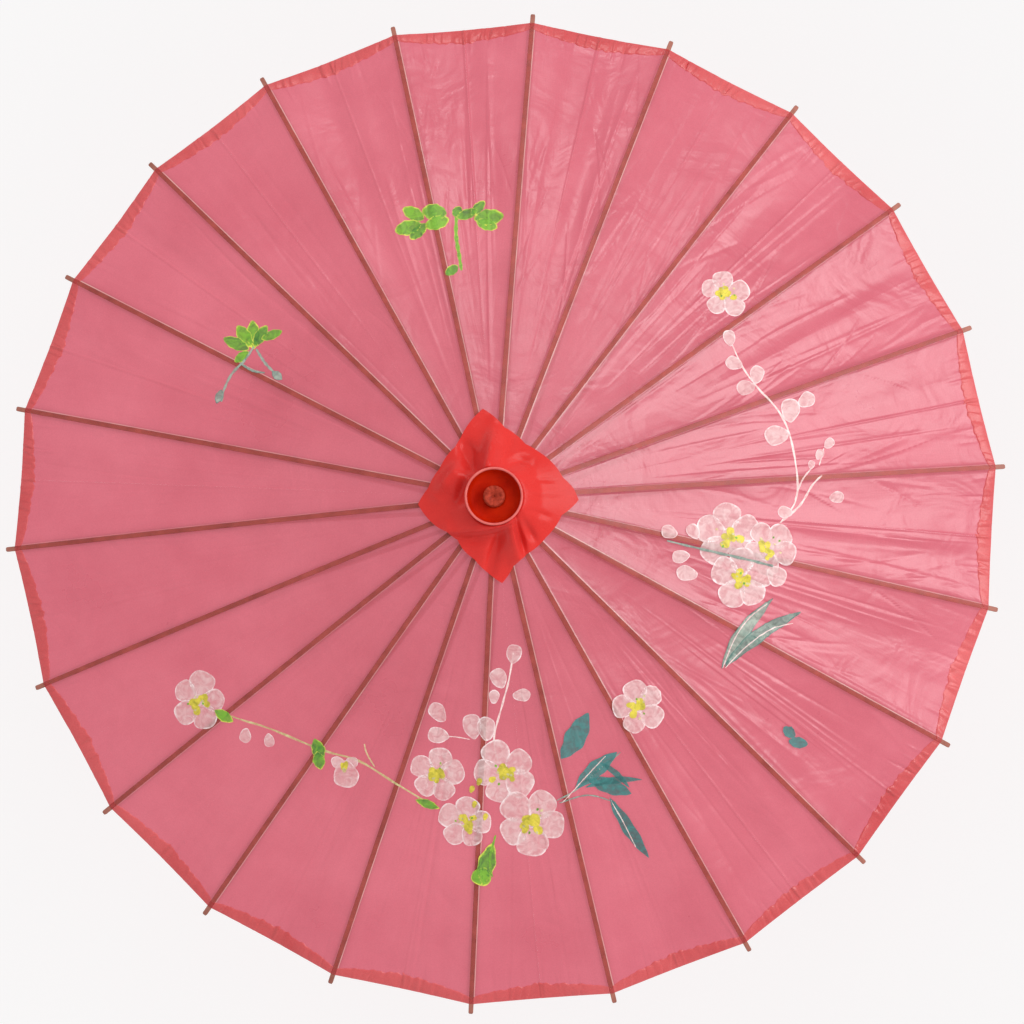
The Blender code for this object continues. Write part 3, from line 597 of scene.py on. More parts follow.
def add_hem(surface, rib, v):
    """The rim folded over: a second layer from the straight outer edge back to a scalloped inner one."""
    rows = np.array([0.0, 0.03, 0.08, 0.16, 0.3, 0.45, 0.6, 0.75, 0.88, 0.96, 1.0])[:, None]
    inner = CLOTH_END - hem_depth(rib, v, CLOTH_END)
    x = inner + (CLOTH_END + 0.3 * MM - inner) * rows
    v = v + 0 * rows
    rounded = np.clip(4 * rows * (1 - rows), 0, 1) ** 0.4
    gather = hem_gather(rib, v, rows) * smooth(np.abs(v), 1.5 * MM, 6 * MM)
    lift = rounded * (0.45 + 0.75 * gather) * MM + 0.08 * MM
    points = cloth_point(rib, x, v) + cloth_normal_at(rib, x, v) * lift[..., None]
    normals = np.cross(np.gradient(points, axis=0), np.gradient(points, axis=1))
    normals /= np.linalg.norm(normals, axis=-1, keepdims=True)
    weave = np.stack([x, v, np.full_like(x, rib * 0.37)], -1)
    surface.grid(points, normals, 1, weave)


# ---------------------------------------------------------------- painted sprays


def drape(plan):
    """Rib, distance along it and offset from it, for plan places in metres from the axis."""
    azimuth = np.arctan2(plan[:, 1], plan[:, 0])
    rib = np.round((AZIMUTHS[0] - azimuth) / (2 * HALF)).astype(int) % RIBS
    heading = np.array(AZIMUTHS)[rib]
    outward = plan[:, 0] * np.cos(heading) + plan[:, 1] * np.sin(heading)
    v = plan[:, 1] * np.cos(heading) - plan[:, 0] * np.sin(heading)
    x = np.interp(outward + np.abs(v) * math.tan(HALF), LINE_RADIUS, LINE_X)
    return rib, x, v


class Painter:
    """Lays thin strokes of paint on the cloth, each a little above the one before."""

    def __init__(self, bands, wings):
        self.bands = bands
        self.wings = wings
        self.layer = 0
        self.chance = random.Random(77)

    def over(self):
        """Lifts the next strokes clear of what they cross."""
        self.layer += 30

    def begin(self):
        """Starts a spray that does not touch the one before, right on the cloth again."""
        self.layer = 0

    def lay(self, plan, faces, slot, paint):
        """Drapes a flat shape, in millimetres from the axis, and shares its faces among the pieces."""
        self.layer += 1
        lift = (0.2 + 0.0025 * self.layer) * MM
        rib, x, v = drape(plan * MM)
        points = np.zeros((len(plan), 3))
        normals = np.zeros((len(plan), 3))
        for one in np.unique(rib):
            mine = rib == one
            points[mine] = cloth_point(one, x[mine], v[mine])
            normals[mine] = cloth_normal_at(one, x[mine], v[mine])
        points += normals * lift
        weave = np.stack([x, v, rib * 0.37], -1)
        middle = np.array([plan[list(face)].mean(0) for face in faces]) * MM
        owner, _, offset = drape(middle)
        key = owner * 2 + (np.abs(offset) < STRIP_HALF)
        for one in np.unique(key):
            chosen = [face for face, k in zip(faces, key) if k == one]
            used = sorted({corner for face in chosen for corner in face})
            index = {corner: place for place, corner in enumerate(used)}
            local = [tuple(index[corner] for corner in face) for face in chosen]
            surface = (self.bands if one % 2 else self.wings)[one // 2]
            surface.patch(points[used], normals[used], local, slot, weave[used], paint[used])

    def outline(self, along, across, base, heading, bend, slot, middle, length):
        """Fills a closed outline, given along and across its own axis, with rings round its middle."""
        ring_count = max(5, math.ceil(length / 2 / 1.3))
        rings = np.linspace(0, 1, ring_count) ** 0.85
        count = len(along)
        tone = self.chance.random()
        plan = []
        paint = []
        c, s = math.cos(math.radians(heading)), math.sin(math.radians(heading))
        for ring in rings:
            u = middle * length + ring * (along - middle * length)
            w = ring * across + bend * length * (u / length) ** 2
            plan.append(np.stack([base[0] + u * c - w * s, base[1] + u * s + w * c], -1))
            paint.append(np.stack([np.full(count, ring), u / length, np.full(count, tone)], -1))
        faces = []
        for r in range(ring_count - 1):
            for k in range(count):
                a, b = r * count + k, r * count + (k + 1) % count
                faces.append((a, b, b + count, a + count) if r else (a, b + count, a + count))
        self.lay(np.concatenate(plan), faces, slot, np.concatenate(paint))

    def petal(self, base, heading, length, width, slot=2, bend=0.0):
        """Rounded petal or bud, widest towards its tip."""
        turn = np.linspace(0, 2 * math.pi, max(20, int(length * 2)), endpoint=False)
        wobble = 1 + 0.05 * np.sin(2 * turn + self.chance.uniform(0, 6)) * np.sin(3 * turn)
        along = length / 2 * (1 - np.cos(turn) * wobble)
        across = width / 2 * np.sin(turn) * (1 - 0.26 * np.cos(turn)) * wobble
        self.outline(along, across, base, heading, bend, slot, 0.55, length)

    def leaf(self, base, heading, length, width, slot, bend=0.0, blunt=0.8):
        """Pointed leaf."""
        turn = np.linspace(0, 2 * math.pi, max(24, int(length * 1.5)), endpoint=False)
        u = (1 - np.cos(turn)) / 2
        ragged = 1 + 0.07 * np.sin(9 * turn + self.chance.uniform(0, 6))
        across = np.sign(np.sin(turn)) * width / 2 * np.sin(np.pi * u) ** blunt * ragged
        self.outline(length * u, across, base, heading, bend, slot, 0.5, length)

    def stem(self, places, width, slot):
        """Brush line through places, thinner at its ends."""
        knots = np.array([places[0], *places, places[-1]], float)
        line = []
        for k in range(1, len(knots) - 2):
            p0, p1, p2, p3 = knots[k - 1 : k + 3]
            steps = max(2, int(np.linalg.norm(p2 - p1) / 1.2))
            for step in range(steps):
                t = step / steps
                line.append(
                    0.5 * (2 * p1 + (p2 - p0) * t + (2 * p0 - 5 * p1 + 4 * p2 - p3) * t**2
                    + (3 * p1 - p0 - 3 * p2 + p3) * t**3)
                )
        line.append(knots[-1])
        line = np.array(line)
        ahead = np.gradient(line, axis=0)
        ahead /= np.linalg.norm(ahead, axis=1, keepdims=True) + 1e-9
        side = np.stack([-ahead[:, 1], ahead[:, 0]], -1)
        t = np.linspace(0, 1, len(line))
        tone = self.chance.random()
        phase = self.chance.uniform(0, 6)
        half = width / 2 * (0.55 + 0.45 * np.sin(np.pi * t) ** 0.5) * (1 + 0.2 * np.sin(t * 40 + phase))
        columns = (-1.0, -0.5, 0.0, 0.5, 1.0)
        plan = np.concatenate([line + side * (half * c)[:, None] for c in columns])
        paint = np.concatenate([np.stack([0 * t + abs(c), t, 0 * t + tone], -1) for c in columns])
        count = len(line)
        faces = []
        for c in range(len(columns) - 1):
            for k in range(count - 1):
                a = c * count + k
                faces.append((a, a + 1, a + count + 1, a + count))
        self.lay(plan, faces, slot, paint)

    def blossom(self, x, y, size, turn, petals=5):
        """Open flower: petals round a centre, with a cluster of pollen dabs."""
        step = 360 / petals
        for k in range(petals):
            heading = turn + k * step + self.chance.uniform(-6, 6)
            angle = math.radians(heading)
            start = (x + 0.10 * size * math.cos(angle), y + 0.10 * size * math.sin(angle))
            length = size * self.chance.uniform(0.82, 0.98)
            self.petal(start, heading, length, length * self.chance.uniform(0.85, 1.0))
        self.over()
        eye = math.radians(turn + 200)
        spot = (x - 0.2 * size * math.cos(eye), y - 0.2 * size * math.sin(eye))
        self.petal(spot, math.degrees(eye), size * 0.4, size * 0.4, 2)
        self.over()
        for k in range(11):
            angle = eye + self.chance.uniform(-1.7, 1.7)
            reach = size * self.chance.uniform(0.0, 0.3)
            spot = (x + reach * math.cos(angle), y + reach * math.sin(angle))
            wide = size * self.chance.uniform(0.15, 0.26)
            self.petal(spot, self.chance.uniform(0, 360), wide * 1.3, wide, 4)
        for k in range(6):
            angle = self.chance.uniform(0, 2 * math.pi)
            reach = size * self.chance.uniform(0.1, 0.42)
            spot = (x + reach * math.cos(angle), y + reach * math.sin(angle))
            self.petal(spot, math.degrees(angle), size * 0.09, size * 0.07, 7 if k % 3 else 3)

    def buds(self, *places):
        """Closed buds, each an (x, y, heading, length)."""
        for x, y, heading, length in places:
            self.petal((x, y), heading, length, length * self.chance.uniform(0.68, 0.8))


def paint_right_spray(brush):
    """Arching spray from a single flower down to a cluster of three, with two long leaves."""
    brush.begin()
    brush.stem([(184, 128), (194, 106), (206, 90), (222, 72), (231, 52), (236, 20), (234, 0), (222, -16)], 1.5, 6)
    brush.stem([(234, 2), (240, 18), (250, 30)], 1.2, 6)
    brush.stem([(222, -16), (238, -2), (248, 14), (256, 22)], 1.6, 6)
    brush.stem([(258, 44), (254, 30)], 0.9, 6)
    brush.blossom(180, 167, 20, 20)
    brush.buds((184, 124, 100, 13), (193, 108, 160, 14), (203, 94, 78, 15), (203, 92, 190, 15))
    brush.buds((230, 64, 85, 19), (238, 78, 35, 15), (230, 55, 190, 20))
    brush.buds((259, 44, 50, 10), (252, 35, 60, 9), (247, 27, 80, 7), (262, 4, 10, 12), (232, -8, 175, 12))
    brush.blossom(180, -26, 25, 90)
    brush.blossom(213, -36, 22, 50)
    brush.blossom(191, -60, 24, 20)
    brush.petal((212, -52), -40, 17, 15)
    brush.buds((140, -27, 160, 13), (156, -30, 120, 13), (150, -42, 190, 14), (156, -58, 170, 17))
    brush.leaf((175, -131), 66, 68, 11, 5, -0.22, 0.9)
    brush.over()
    brush.leaf((178, -129), 50, 72, 11, 5, -0.26, 0.7)
    brush.over()
    brush.stem([(176, -130), (186, -106), (198, -90), (211, -80)], 0.9, 6)
    brush.stem([(178, -130), (196, -112), (216, -99), (232, -95)], 0.9, 6)
    brush.stem([(132, -31), (158, -37), (190, -44), (216, -50)], 2.2, 5)
    brush.leaf((225, -177), -40, 12, 9, 8, 0.0, 0.6)
    brush.leaf((229, -188), -10, 16, 9, 8, 0.0, 0.6)


def paint_bottom_spray(brush):
    """Cluster of four flowers with buds rising above it and teal leaves on its right."""
    brush.begin()
    brush.stem([(13, -118), (9, -140), (4, -158), (-3, -185), (0, -205)], 1.4, 6)
    brush.buds((12, -127, 80, 15), (4, -146, 110, 16), (-3, -158, 85, 11), (12, -152, 5, 14))
    brush.stem([(-44, -184), (-34, -184), (-22, -186)], 0.8, 6)
    brush.buds((-18, -186, 100, 20), (-8, -187, 95, 19), (-42, -172, 125, 17), (-38, -184, 172, 17))
    brush.blossom(-49, -214, 21, 80)
    brush.blossom(4, -212, 25, 110)
    brush.blossom(-27, -252, 21, 150)
    brush.blossom(25, -251, 27, 60)
    for x, y in ((-22, -228), (-20, -240), (-16, -222), (-12, -250)):
        brush.petal((x, y), 70, 6, 4, 4)
    brush.leaf((-5, -268), 250, 36, 14, 3, 0.08)
    brush.petal((-12, -288), 250, 15, 15, 3)
    brush.stem([(-3, -262), (-8, -282), (-6, -296)], 1.8, 3)
    brush.stem([(46, -234), (60, -226), (76, -212), (96, -196)], 1.3, 5)
    brush.stem([(48, -236), (70, -230), (92, -236)], 1.2, 5)
    brush.leaf((49, -201), 52, 42, 17, 8, 0.12)
    brush.leaf((60, -225), 46, 44, 13, 8, -0.08)
    brush.leaf((70, -218), -12, 36, 13, 8, -0.10)
    brush.leaf((68, -224), 22, 44, 6, 8, -0.25)
    brush.leaf((80, -204), -30, 30, 5, 8, -0.2)
    brush.leaf((87, -232), -60, 58, 10, 8, 0.05)
    brush.over()
    brush.stem([(50, -236), (66, -218), (84, -199)], 0.8, 6)
    brush.stem([(88, -234), (98, -252), (108, -272)], 0.8, 6)
    brush.blossom(110, -160, 22, 35)


def paint_left_spray(brush):
    """Long trailing stem from the lower left flower to the bottom cluster."""
    brush.begin()
    brush.stem([(-224, -165), (-204, -172), (-184, -178), (-140, -195), (-110, -204), (-80, -222), (-49, -241)], 1.7, 7)
    brush.stem([(-98, -208), (-104, -198), (-106, -190)], 1.2, 7)
    brush.blossom(-242, -156, 23, 75)
    brush.leaf((-228, -164), -30, 18, 9, 3)
    brush.buds((-202, -178, -100, 12), (-184, -182, -85, 11))
    brush.leaf((-146, -186), -70, 18, 11, 3)
    brush.leaf((-144, -196), -80, 15, 10, 3)
    brush.petal((-123, -203), -165, 10, 9)
    brush.petal((-121, -203), -20, 10, 9)
    brush.petal((-122, -203), -88, 22, 20)
    brush.over()
    brush.petal((-125, -205), -60, 7, 5, 4)
    brush.petal((-120, -204), -120, 8, 5, 4)
    brush.petal((-123, -209), -80, 4, 3, 7)
    brush.leaf((-66, -234), -20, 20, 7, 3)


def paint_green_sprigs(brush):
    """Two small leafy sprigs on the far side."""
    brush.begin()
    brush.stem([(-34, 232), (-34, 214), (-31, 196), (-29, 184)], 3.0, 3)
    for x, y, heading, length, width in (
        (-62, 224, 195, 22, 13),
        (-60, 228, 150, 20, 11),
        (-58, 224, 225, 18, 10),
        (-42, 232, 170, 20, 14),
        (-40, 228, 200, 20, 12),
        (-36, 230, 60, 10, 8),
        (-34, 229, 20, 18, 9),
        (-22, 231, 50, 16, 8),
        (-20, 228, 5, 24, 14),
        (-18, 226, 340, 18, 10),
        (-32, 188, 220, 12, 8),
    ):
        brush.leaf((x, y), heading, length, width, 3, 0.0, 0.55)
    for x, y, heading, length, width in (
        (-196, 124, 95, 24, 11),
        (-198, 126, 125, 22, 11),
        (-200, 124, 155, 24, 10),
        (-196, 126, 60, 20, 10),
        (-190, 132, 20, 18, 8),
        (-200, 122, 215, 14, 8),
    ):
        brush.leaf((x, y), heading, length, width, 3, 0.0, 0.6)
    brush.stem([(-196, 126), (-204, 114), (-214, 104), (-220, 92), (-222, 82)], 2.2, 5)
    brush.stem([(-194, 124), (-186, 112), (-176, 102)], 2.2, 5)
    brush.stem([(-206, 112), (-196, 106), (-186, 104)], 1.8, 5)
    brush.leaf((-222, 92), 250, 12, 7, 5)
    brush.leaf((-180, 105), 320, 11, 7, 5)


# ---------------------------------------------------------------- building the canopy


def build_canopy(materials):
    """One glued band over each rib, and one wing of loose cloth on both sides of it."""
    bands = [Surface() for _ in range(RIBS)]
    wings = [Surface() for _ in range(RIBS)]
    for rib in range(RIBS):
        add_cloth_strip(bands[rib], rib)
        add_hem(bands[rib], rib, np.linspace(-1, 1, 13)[None, :] * STRIP_HALF)
        add_cloth_wings(wings[rib], rib)
        for sign in (-1, 1):
            add_hem(wings[rib], rib, wing_grid(2, sign, 110)[1][1:2])
    brush = Painter(bands, wings)
    paint_right_spray(brush)
    paint_bottom_spray(brush)
    paint_left_spray(brush)
    paint_green_sprigs(brush)
    for rib in range(RIBS):
        label = f"{rib + 1:02d}"
        body = f"rib_{label}"
        band = bands[rib].build("cloth_band_" + label, materials)
        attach(band, body)
        wing = wings[rib].build("cloth_wing_" + label, materials)
        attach(wing, body)
        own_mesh(wing)
        if rib == 0:
            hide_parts("canopy", "hem_band")


# ---------------------------------------------------------------- the tied cap cloth


CAP_OUTLINE = [
    (-10, 70), (7, 55), (23, 42), (33, 36), (46, 25), (52, 16), (60, 8), (64, -1),
    (51, -13), (39, -30), (24, -43), (14, -52), (5, -65),
    (-6, -57), (-16, -47), (-25, -39), (-29, -32), (-37, -26), (-46, -21), (-54, -13), (-60, -4),
    (-52, 8), (-43, 23), (-35, 36), (-31, 40), (-27, 47), (-21, 58),
]
CAP_UNDER_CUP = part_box("ferrule_cup")[0].z - 0.6 * MM


def cap_reach(angle):
    """Distance from the axis to the cloth's edge at an angle."""
    corners = np.array(CAP_OUTLINE, float) * MM
    bearings = np.arctan2(corners[:, 1], corners[:, 0])
    order = np.argsort(bearings)
    return np.interp(angle, bearings[order], np.hypot(*corners[order].T), period=2 * math.pi)


def curve_distance(x, y, places):
    """Signed distance to the curve through three places (left is positive), share along it, and overshoot."""
    first, middle, last = np.array(places, float) * MM
    middle = 2 * middle - (first + last) / 2
    t = np.linspace(0, 1, 60)[:, None]
    line = (1 - t) ** 2 * first + 2 * t * (1 - t) * middle + t**2 * last
    ahead = np.gradient(line, axis=0)
    pace = np.linalg.norm(ahead, axis=1, keepdims=True)
    ahead = ahead / pace
    dx = x[..., None] - line[:, 0]
    dy = y[..., None] - line[:, 1]
    near = np.argmin(dx**2 + dy**2, -1)
    gap_x = np.take_along_axis(dx, near[..., None], -1)[..., 0]
    gap_y = np.take_along_axis(dy, near[..., None], -1)[..., 0]
    step = ahead[near]
    along = gap_x * step[..., 0] + gap_y * step[..., 1]
    share = t[near, 0] + along / pace[near, 0] / 59
    beyond = np.maximum(np.abs(share - 0.5) - 0.5, 0) * pace.sum()
    return step[..., 0] * gap_y - step[..., 1] * gap_x, np.clip(share, 0, 1), beyond


def ridge(x, y, places, height, left, right, start=0.0, end=0.0):
    """A rounded fold along a curve: widths in millimetres on either side, and strengths at its two ends."""
    off, share, beyond = curve_distance(x, y, places)
    reach = np.where(off > 0, left, right) * MM
    fade = start + (1 - start) * smooth(share, 0, 0.4)
    fade = fade * (end + (1 - end) * (1 - smooth(share, 0.6, 1.0)))
    fade = fade * np.exp(-((beyond / (4 * MM)) ** 2))
    return height * MM * fade * np.exp(-((off / reach) ** 2))


def cap_height(x, y):
    """Height of the tied cloth at plan x, y: flat under the cup, then lying over the crown in swirling folds."""
    radius = np.hypot(x, y)
    crown = np.interp(radius, LINE_RADIUS, rib_line(LINE_X)[1]) + 1.7 * MM
    crest = np.full_like(radius, CAP_UNDER_CUP)
    level = crest + (crown - crest) * smooth(radius, 15 * MM, 38 * MM)
    level += 1.2 * MM * smooth(radius, 34 * MM, 66 * MM) * (0.5 + 0.5 * np.sin(3 * np.arctan2(y, x) + 1.0))
    away = smooth(radius, 15 * MM, 24 * MM)
    level += 6 * MM * away * (1 - smooth(radius, 30 * MM, 63 * MM))
    folds = ridge(x, y, [(-9, 16), (-4, 34), (0, 60)], 9.0, 6, 8, 0.7, 0.2)
    folds += ridge(x, y, [(-11, 16), (-19, 29), (-24, 50)], -9.0, 6, 6, 0.7, 0.1)
    folds += ridge(x, y, [(4, 19), (15, 26), (34, 30)], -4.0, 5, 6, 0.6, 0.0)
    folds += ridge(x, y, [(-22, 28), (-35, 16), (-46, 2)], 7.5, 7, 6, 0.1, 0.3)
    folds += ridge(x, y, [(-19, 14), (-25, 4), (-30, -12)], -7.5, 5, 5, 0.4, 0.0)
    folds += ridge(x, y, [(14, -18), (-4, -25), (-36, -26)], 7.5, 1.7, 7, 0.7, 0.5)
    folds += ridge(x, y, [(12, -23), (-8, -29), (-38, -31)], -6.0, 7, 2.0, 0.5, 0.3)
    folds += ridge(x, y, [(13, -18), (15, -30), (19, -46)], 8.0, 1.7, 8, 0.5, 0.7)
    folds += ridge(x, y, [(15, -16), (19, -29), (23, -44)], -6.0, 2.8, 1.8, 0.6, 0.3)
    folds += ridge(x, y, [(20, -15), (26, -25), (33, -36)], -3.0, 3, 4, 0.4, 0.2)
    folds += ridge(x, y, [(6, -24), (-1, -38), (-6, -56)], -6.0, 6, 3, 0.2, 0.6)
    folds += ridge(x, y, [(21, 12), (36, 14), (52, 13)], -0.7, 1.8, 2.6)
    folds += ridge(x, y, [(23, 2), (38, 4), (58, 2)], 0.5, 3, 3)
    folds += ridge(x, y, [(21, -9), (34, -12), (46, -17)], -0.8, 2.5, 2.5)
    raised = level + away * (folds + 1.0 * MM) - crown
    return crown + 0.5 * (raised + np.sqrt(raised**2 + (0.9 * MM) ** 2)) - 1.1 * MM


def cap_grid(rib, lateral, rows, inner):
    """Plan places of part of the cap cloth beside a rib; lateral maps distance to signed offset."""
    heading = AZIMUTHS[rib]
    edge = np.full(lateral(0.05).shape, 45 * MM)
    for _ in range(12):
        v = lateral(edge)
        bearing = heading + np.arctan2(v, edge)
        edge = np.sqrt(np.maximum(cap_reach(bearing) ** 2 - v**2, 1e-8))
    share = np.linspace(0, 1, rows)[:, None]
    outward = inner + (edge - inner) * share
    v = lateral(outward)
    c, s = math.cos(heading), math.sin(heading)
    return outward * c - v * s, outward * s + v * c, outward, v


def add_cap_part(surface, rib, lateral, rows, inner):
    x, y, outward, v = cap_grid(rib, lateral, rows, inner)
    step = 0.2 * MM
    z = cap_height(x, y)
    slope_x = (cap_height(x + step, y) - cap_height(x - step, y)) / (2 * step)
    slope_y = (cap_height(x, y + step) - cap_height(x, y - step)) / (2 * step)
    normal = np.stack([-slope_x, -slope_y, np.ones_like(z)], -1)
    normal /= np.linalg.norm(normal, axis=-1, keepdims=True)
    weave = np.stack([outward + 0 * v, v, np.full_like(z, rib * 0.37)], -1)
    surface.grid(np.stack([x, y, z], -1), normal, 0, weave)


def build_cap_cloth(material):
    """Square of red cloth tied under the cup: a middle band over each rib and the cloth beside it."""
    for rib in range(RIBS):
        label = f"{rib + 1:02d}"

        def band(distance):
            share = np.linspace(-1, 1, 13)[None, :]
            return share * np.minimum(STRIP_HALF, distance * math.tan(HALF))

        middle = Surface()
        add_cap_part(middle, rib, band, 84, 9.5 * MM)
        made = middle.build("cap_fold_" + label, [material])
        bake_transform(made)
        if rib == 0:
            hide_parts("cap_cloth")

        sides = Surface()
        for sign in (-1, 1):

            def beside(distance):
                share = np.linspace(0, 1, 20)[None, :]
                if sign < 0:
                    share = share[:, ::-1]
                return sign * (STRIP_HALF + (distance * math.tan(HALF) - STRIP_HALF) * share)

            add_cap_part(sides, rib, beside, 72, STRIP_HALF / math.tan(HALF) + 0.05 * MM)
        made = sides.build("cap_skirt_" + label, [material])
        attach(made, "rib_" + label)
        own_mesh(made)


# ---------------------------------------------------------------- turned cup and cut shaft end


def turned(name, profile, segments, material_rows, materials, rough=None):
    """A closed profile of (radius, height) turned about the axis; rough moves points for a hand-cut look."""
    rows = len(profile)
    points = []
    for k in range(segments):
        angle = 2 * math.pi * k / segments
        for row, (radius, height) in enumerate(profile):
            if rough is not None:
                radius, height = rough(row, angle, radius, height)
            points.append((radius * math.cos(angle), radius * math.sin(angle), height))
    faces = []
    slots = []
    for k in range(segments):
        other = (k + 1) % segments
        for row in range(rows):
            following = (row + 1) % rows
            faces.append((k * rows + row, other * rows + row, other * rows + following, k * rows + following))
            slots.append(material_rows(row))
    mesh = bpy.data.meshes.new(name)
    mesh.from_pydata(points, [], faces)
    mesh.polygons.foreach_set("material_index", slots)
    for material in materials:
        mesh.materials.append(material)
    mesh.shade_smooth()
    made = bpy.data.objects.new(name, mesh)
    bpy.context.scene.collection.objects.link(made)
    return made


def build_cup(materials):
    """Shallow lacquered cup with a rolled rim, coloured paler as a painted highlight."""
    low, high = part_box("ferrule_cup")
    outer = high.x
    floor = low.z + 3 * MM
    top = high.z
    profile = [(8.0 * MM, low.z + 0.3 * MM), (8.3 * MM, low.z), (outer - 3 * MM, low.z)]
    profile += [(outer - 1.6 * MM, low.z + 0.5 * MM), (outer - 1.0 * MM, low.z + 2 * MM)]
    profile += [(outer - 0.5 * MM, low.z + 6 * MM), (outer - 0.35 * MM, top - 3.0 * MM)]
    rim = []
    for k in range(9):
        angle = math.pi * k / 8
        rim.append((outer - 0.9 * MM + 0.9 * MM * math.cos(angle), top - 0.9 * MM + 0.9 * MM * math.sin(angle)))
    profile += rim
    profile += [(outer - 1.9 * MM, top - 2.4 * MM), (outer - 2.1 * MM, floor + 5 * MM)]
    profile += [(outer - 3.0 * MM, floor + 2.2 * MM), (outer - 4.4 * MM, floor + 0.7 * MM)]
    profile += [(outer - 7 * MM, floor + 0.1 * MM), (9.4 * MM, floor), (8.0 * MM, floor + 0.1 * MM)]
    profile = profile[::-1]
    # the rows of the rolled rim take the second material, a paler red that is a painted highlight
    rim_rows = range(len(profile) - 17, len(profile) - 6)
    cup = turned("turned_cup", profile, 96, lambda row: 1 if row in rim_rows else 0, materials)
    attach(cup, "root")
    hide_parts("ferrule_cup")


def build_cut_end(material):
    """Rough sawn crown of the bamboo shaft inside the cup."""
    low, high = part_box("shaft")
    chance = random.Random(31)
    phases = [chance.uniform(0, 6.28) for _ in range(8)]
    chipped = [chance.uniform(-0.7, 0.4) * MM for _ in range(36)]

    def rough(row, angle, radius, height):
        wave = sum(math.sin(angle * (1 + k * 2) + phases[k]) / (1 + 0.8 * k) for k in range(6))
        if row in (0, 7):
            return radius, height
        push = 0.07 * MM * wave * (1 if row in (1, 2, 3) else 0.6)
        chips = chipped[int(angle / (2 * math.pi) * len(chipped)) % len(chipped)]
        rise = (0.35 * MM * wave + chips) * (radius / (8 * MM)) ** 2 * (1 if row in (3, 4, 5) else 0.0)
        return radius + push, height + rise

    top = high.z
    outer = 8.1 * MM
    profile = [(7.62 * MM, top - 7.6 * MM), (outer, top - 7.4 * MM), (outer + 0.25 * MM, top - 3 * MM)]
    profile += [(outer - 0.1 * MM, top + 2.1 * MM), (outer - 1.8 * MM, top + 2.7 * MM)]
    profile += [(outer - 3.4 * MM, top + 1.9 * MM), (2.8 * MM, top + 0.35 * MM), (0.1 * MM, top + 0.2 * MM)]
    profile = profile[::-1]
    made = turned("sawn_end", profile, 72, lambda row: 0, [material], lambda row, *rest: rough(7 - row, *rest))
    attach(made, "root")


# ---------------------------------------------------------------- finish of the carried-over parts


def finish_part(name, material, bevel=0.0):
    """Gives a carried-over part its material, and rounds its edges by bevel metres."""
    part = frame["nodes"][name]
    part.data.materials.clear()
    part.data.materials.append(material)
    if bevel:
        weld = part.modifiers.new("weld", "WELD")
        weld.merge_threshold = 0.00001
        rounding = part.modifiers.new("rounding", "BEVEL")
        rounding.width = bevel
        rounding.segments = 2
        rounding.limit_method = "ANGLE"
        rounding.angle_limit = math.radians(32)
        even = part.modifiers.new("even_shading", "WEIGHTED_NORMAL")
        even.keep_sharp = False


def finish_parts():
    rib = bamboo_material("rib_bamboo", (0.24, 0.07, 0.045), (0.46, 0.16, 0.115), (90, 90, 90), 0.45)
    strut = bamboo_material("strut_bamboo", (0.30, 0.13, 0.06), (0.55, 0.30, 0.15), (90, 90, 90), 0.5)
    pole = bamboo_material("pole_bamboo", (0.45, 0.28, 0.12), (0.68, 0.48, 0.25), (700, 700, 12), 0.42)
    wood = bamboo_material("turned_wood", (0.40, 0.22, 0.10), (0.62, 0.38, 0.19), (260, 260, 30), 0.45)
    dark = bamboo_material("dark_wood", (0.10, 0.035, 0.015), (0.22, 0.08, 0.035), (240, 240, 24), 0.3)
    steel = steel_material("steel_wire")
    thread = fibre_material("tie_thread", (0.25, 0.02, 0.02), (0.7, 0.1, 0.08), 900)
    cord = fibre_material("red_cord", (0.3, 0.02, 0.02), (0.75, 0.08, 0.06), 700)
    for name in frame["nodes"]:
        if name.startswith("rib_"):
            finish_part(name, rib, 0.3 * MM)
        elif name.startswith("stretcher_"):
            finish_part(name, strut, 0.25 * MM)
    finish_part("shaft", pole, 0.2 * MM)
    finish_part("top_notch", wood, 0.3 * MM)
    finish_part("runner", wood, 0.3 * MM)
    finish_part("handle", dark, 0.4 * MM)
    for name in ("notch_wire", "notch_nail", "runner_wire", "catch_pin", "stop_pin", "spring_catch"):
        finish_part(name, steel)
    finish_part("cap_tie", thread)
    finish_part("hand_loop", cord)


# ---------------------------------------------------------------- floor, light and camera


def make_floor():
    bpy.ops.mesh.primitive_plane_add(size=60, location=(0, 0, 0))
    floor = bpy.context.object
    floor.name = "floor"
    material = new_material("floor_paper")
    tree = material.node_tree
    grain = noise(tree, place(tree), 3.0, 2.0)
    colour = ramp(tree, grain, (0.2, rgb(0.29, 0.29, 0.29)), (0.8, rgb(0.31, 0.31, 0.31)))
    paper = {"Base Color": colour, "Roughness": 0.9, "Emission Color": rgb(1, 1, 1), "Emission Strength": 0.727}
    output(tree, add(tree, "ShaderNodeBsdfPrincipled", paper).outputs[0])
    floor.data.materials.append(material)
    floor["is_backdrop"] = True


def make_world(strength, seen_strength):
    """Even light from all round; the camera itself sees a backdrop as pale as the floor."""
    world = bpy.data.worlds.new("studio")
    world.use_nodes = True
    tree = world.node_tree
    camera_ray = add(tree, "ShaderNodeLightPath").outputs["Is Camera Ray"]
    background = tree.nodes["Background"]
    background.inputs["Color"].default_value = rgb(1.0, 0.99, 0.985)
    shown = grey_ramp(tree, camera_ray, 0.0, 1.0, strength, seen_strength)
    tree.links.new(shown, background.inputs["Strength"])
    bpy.context.scene.world = world


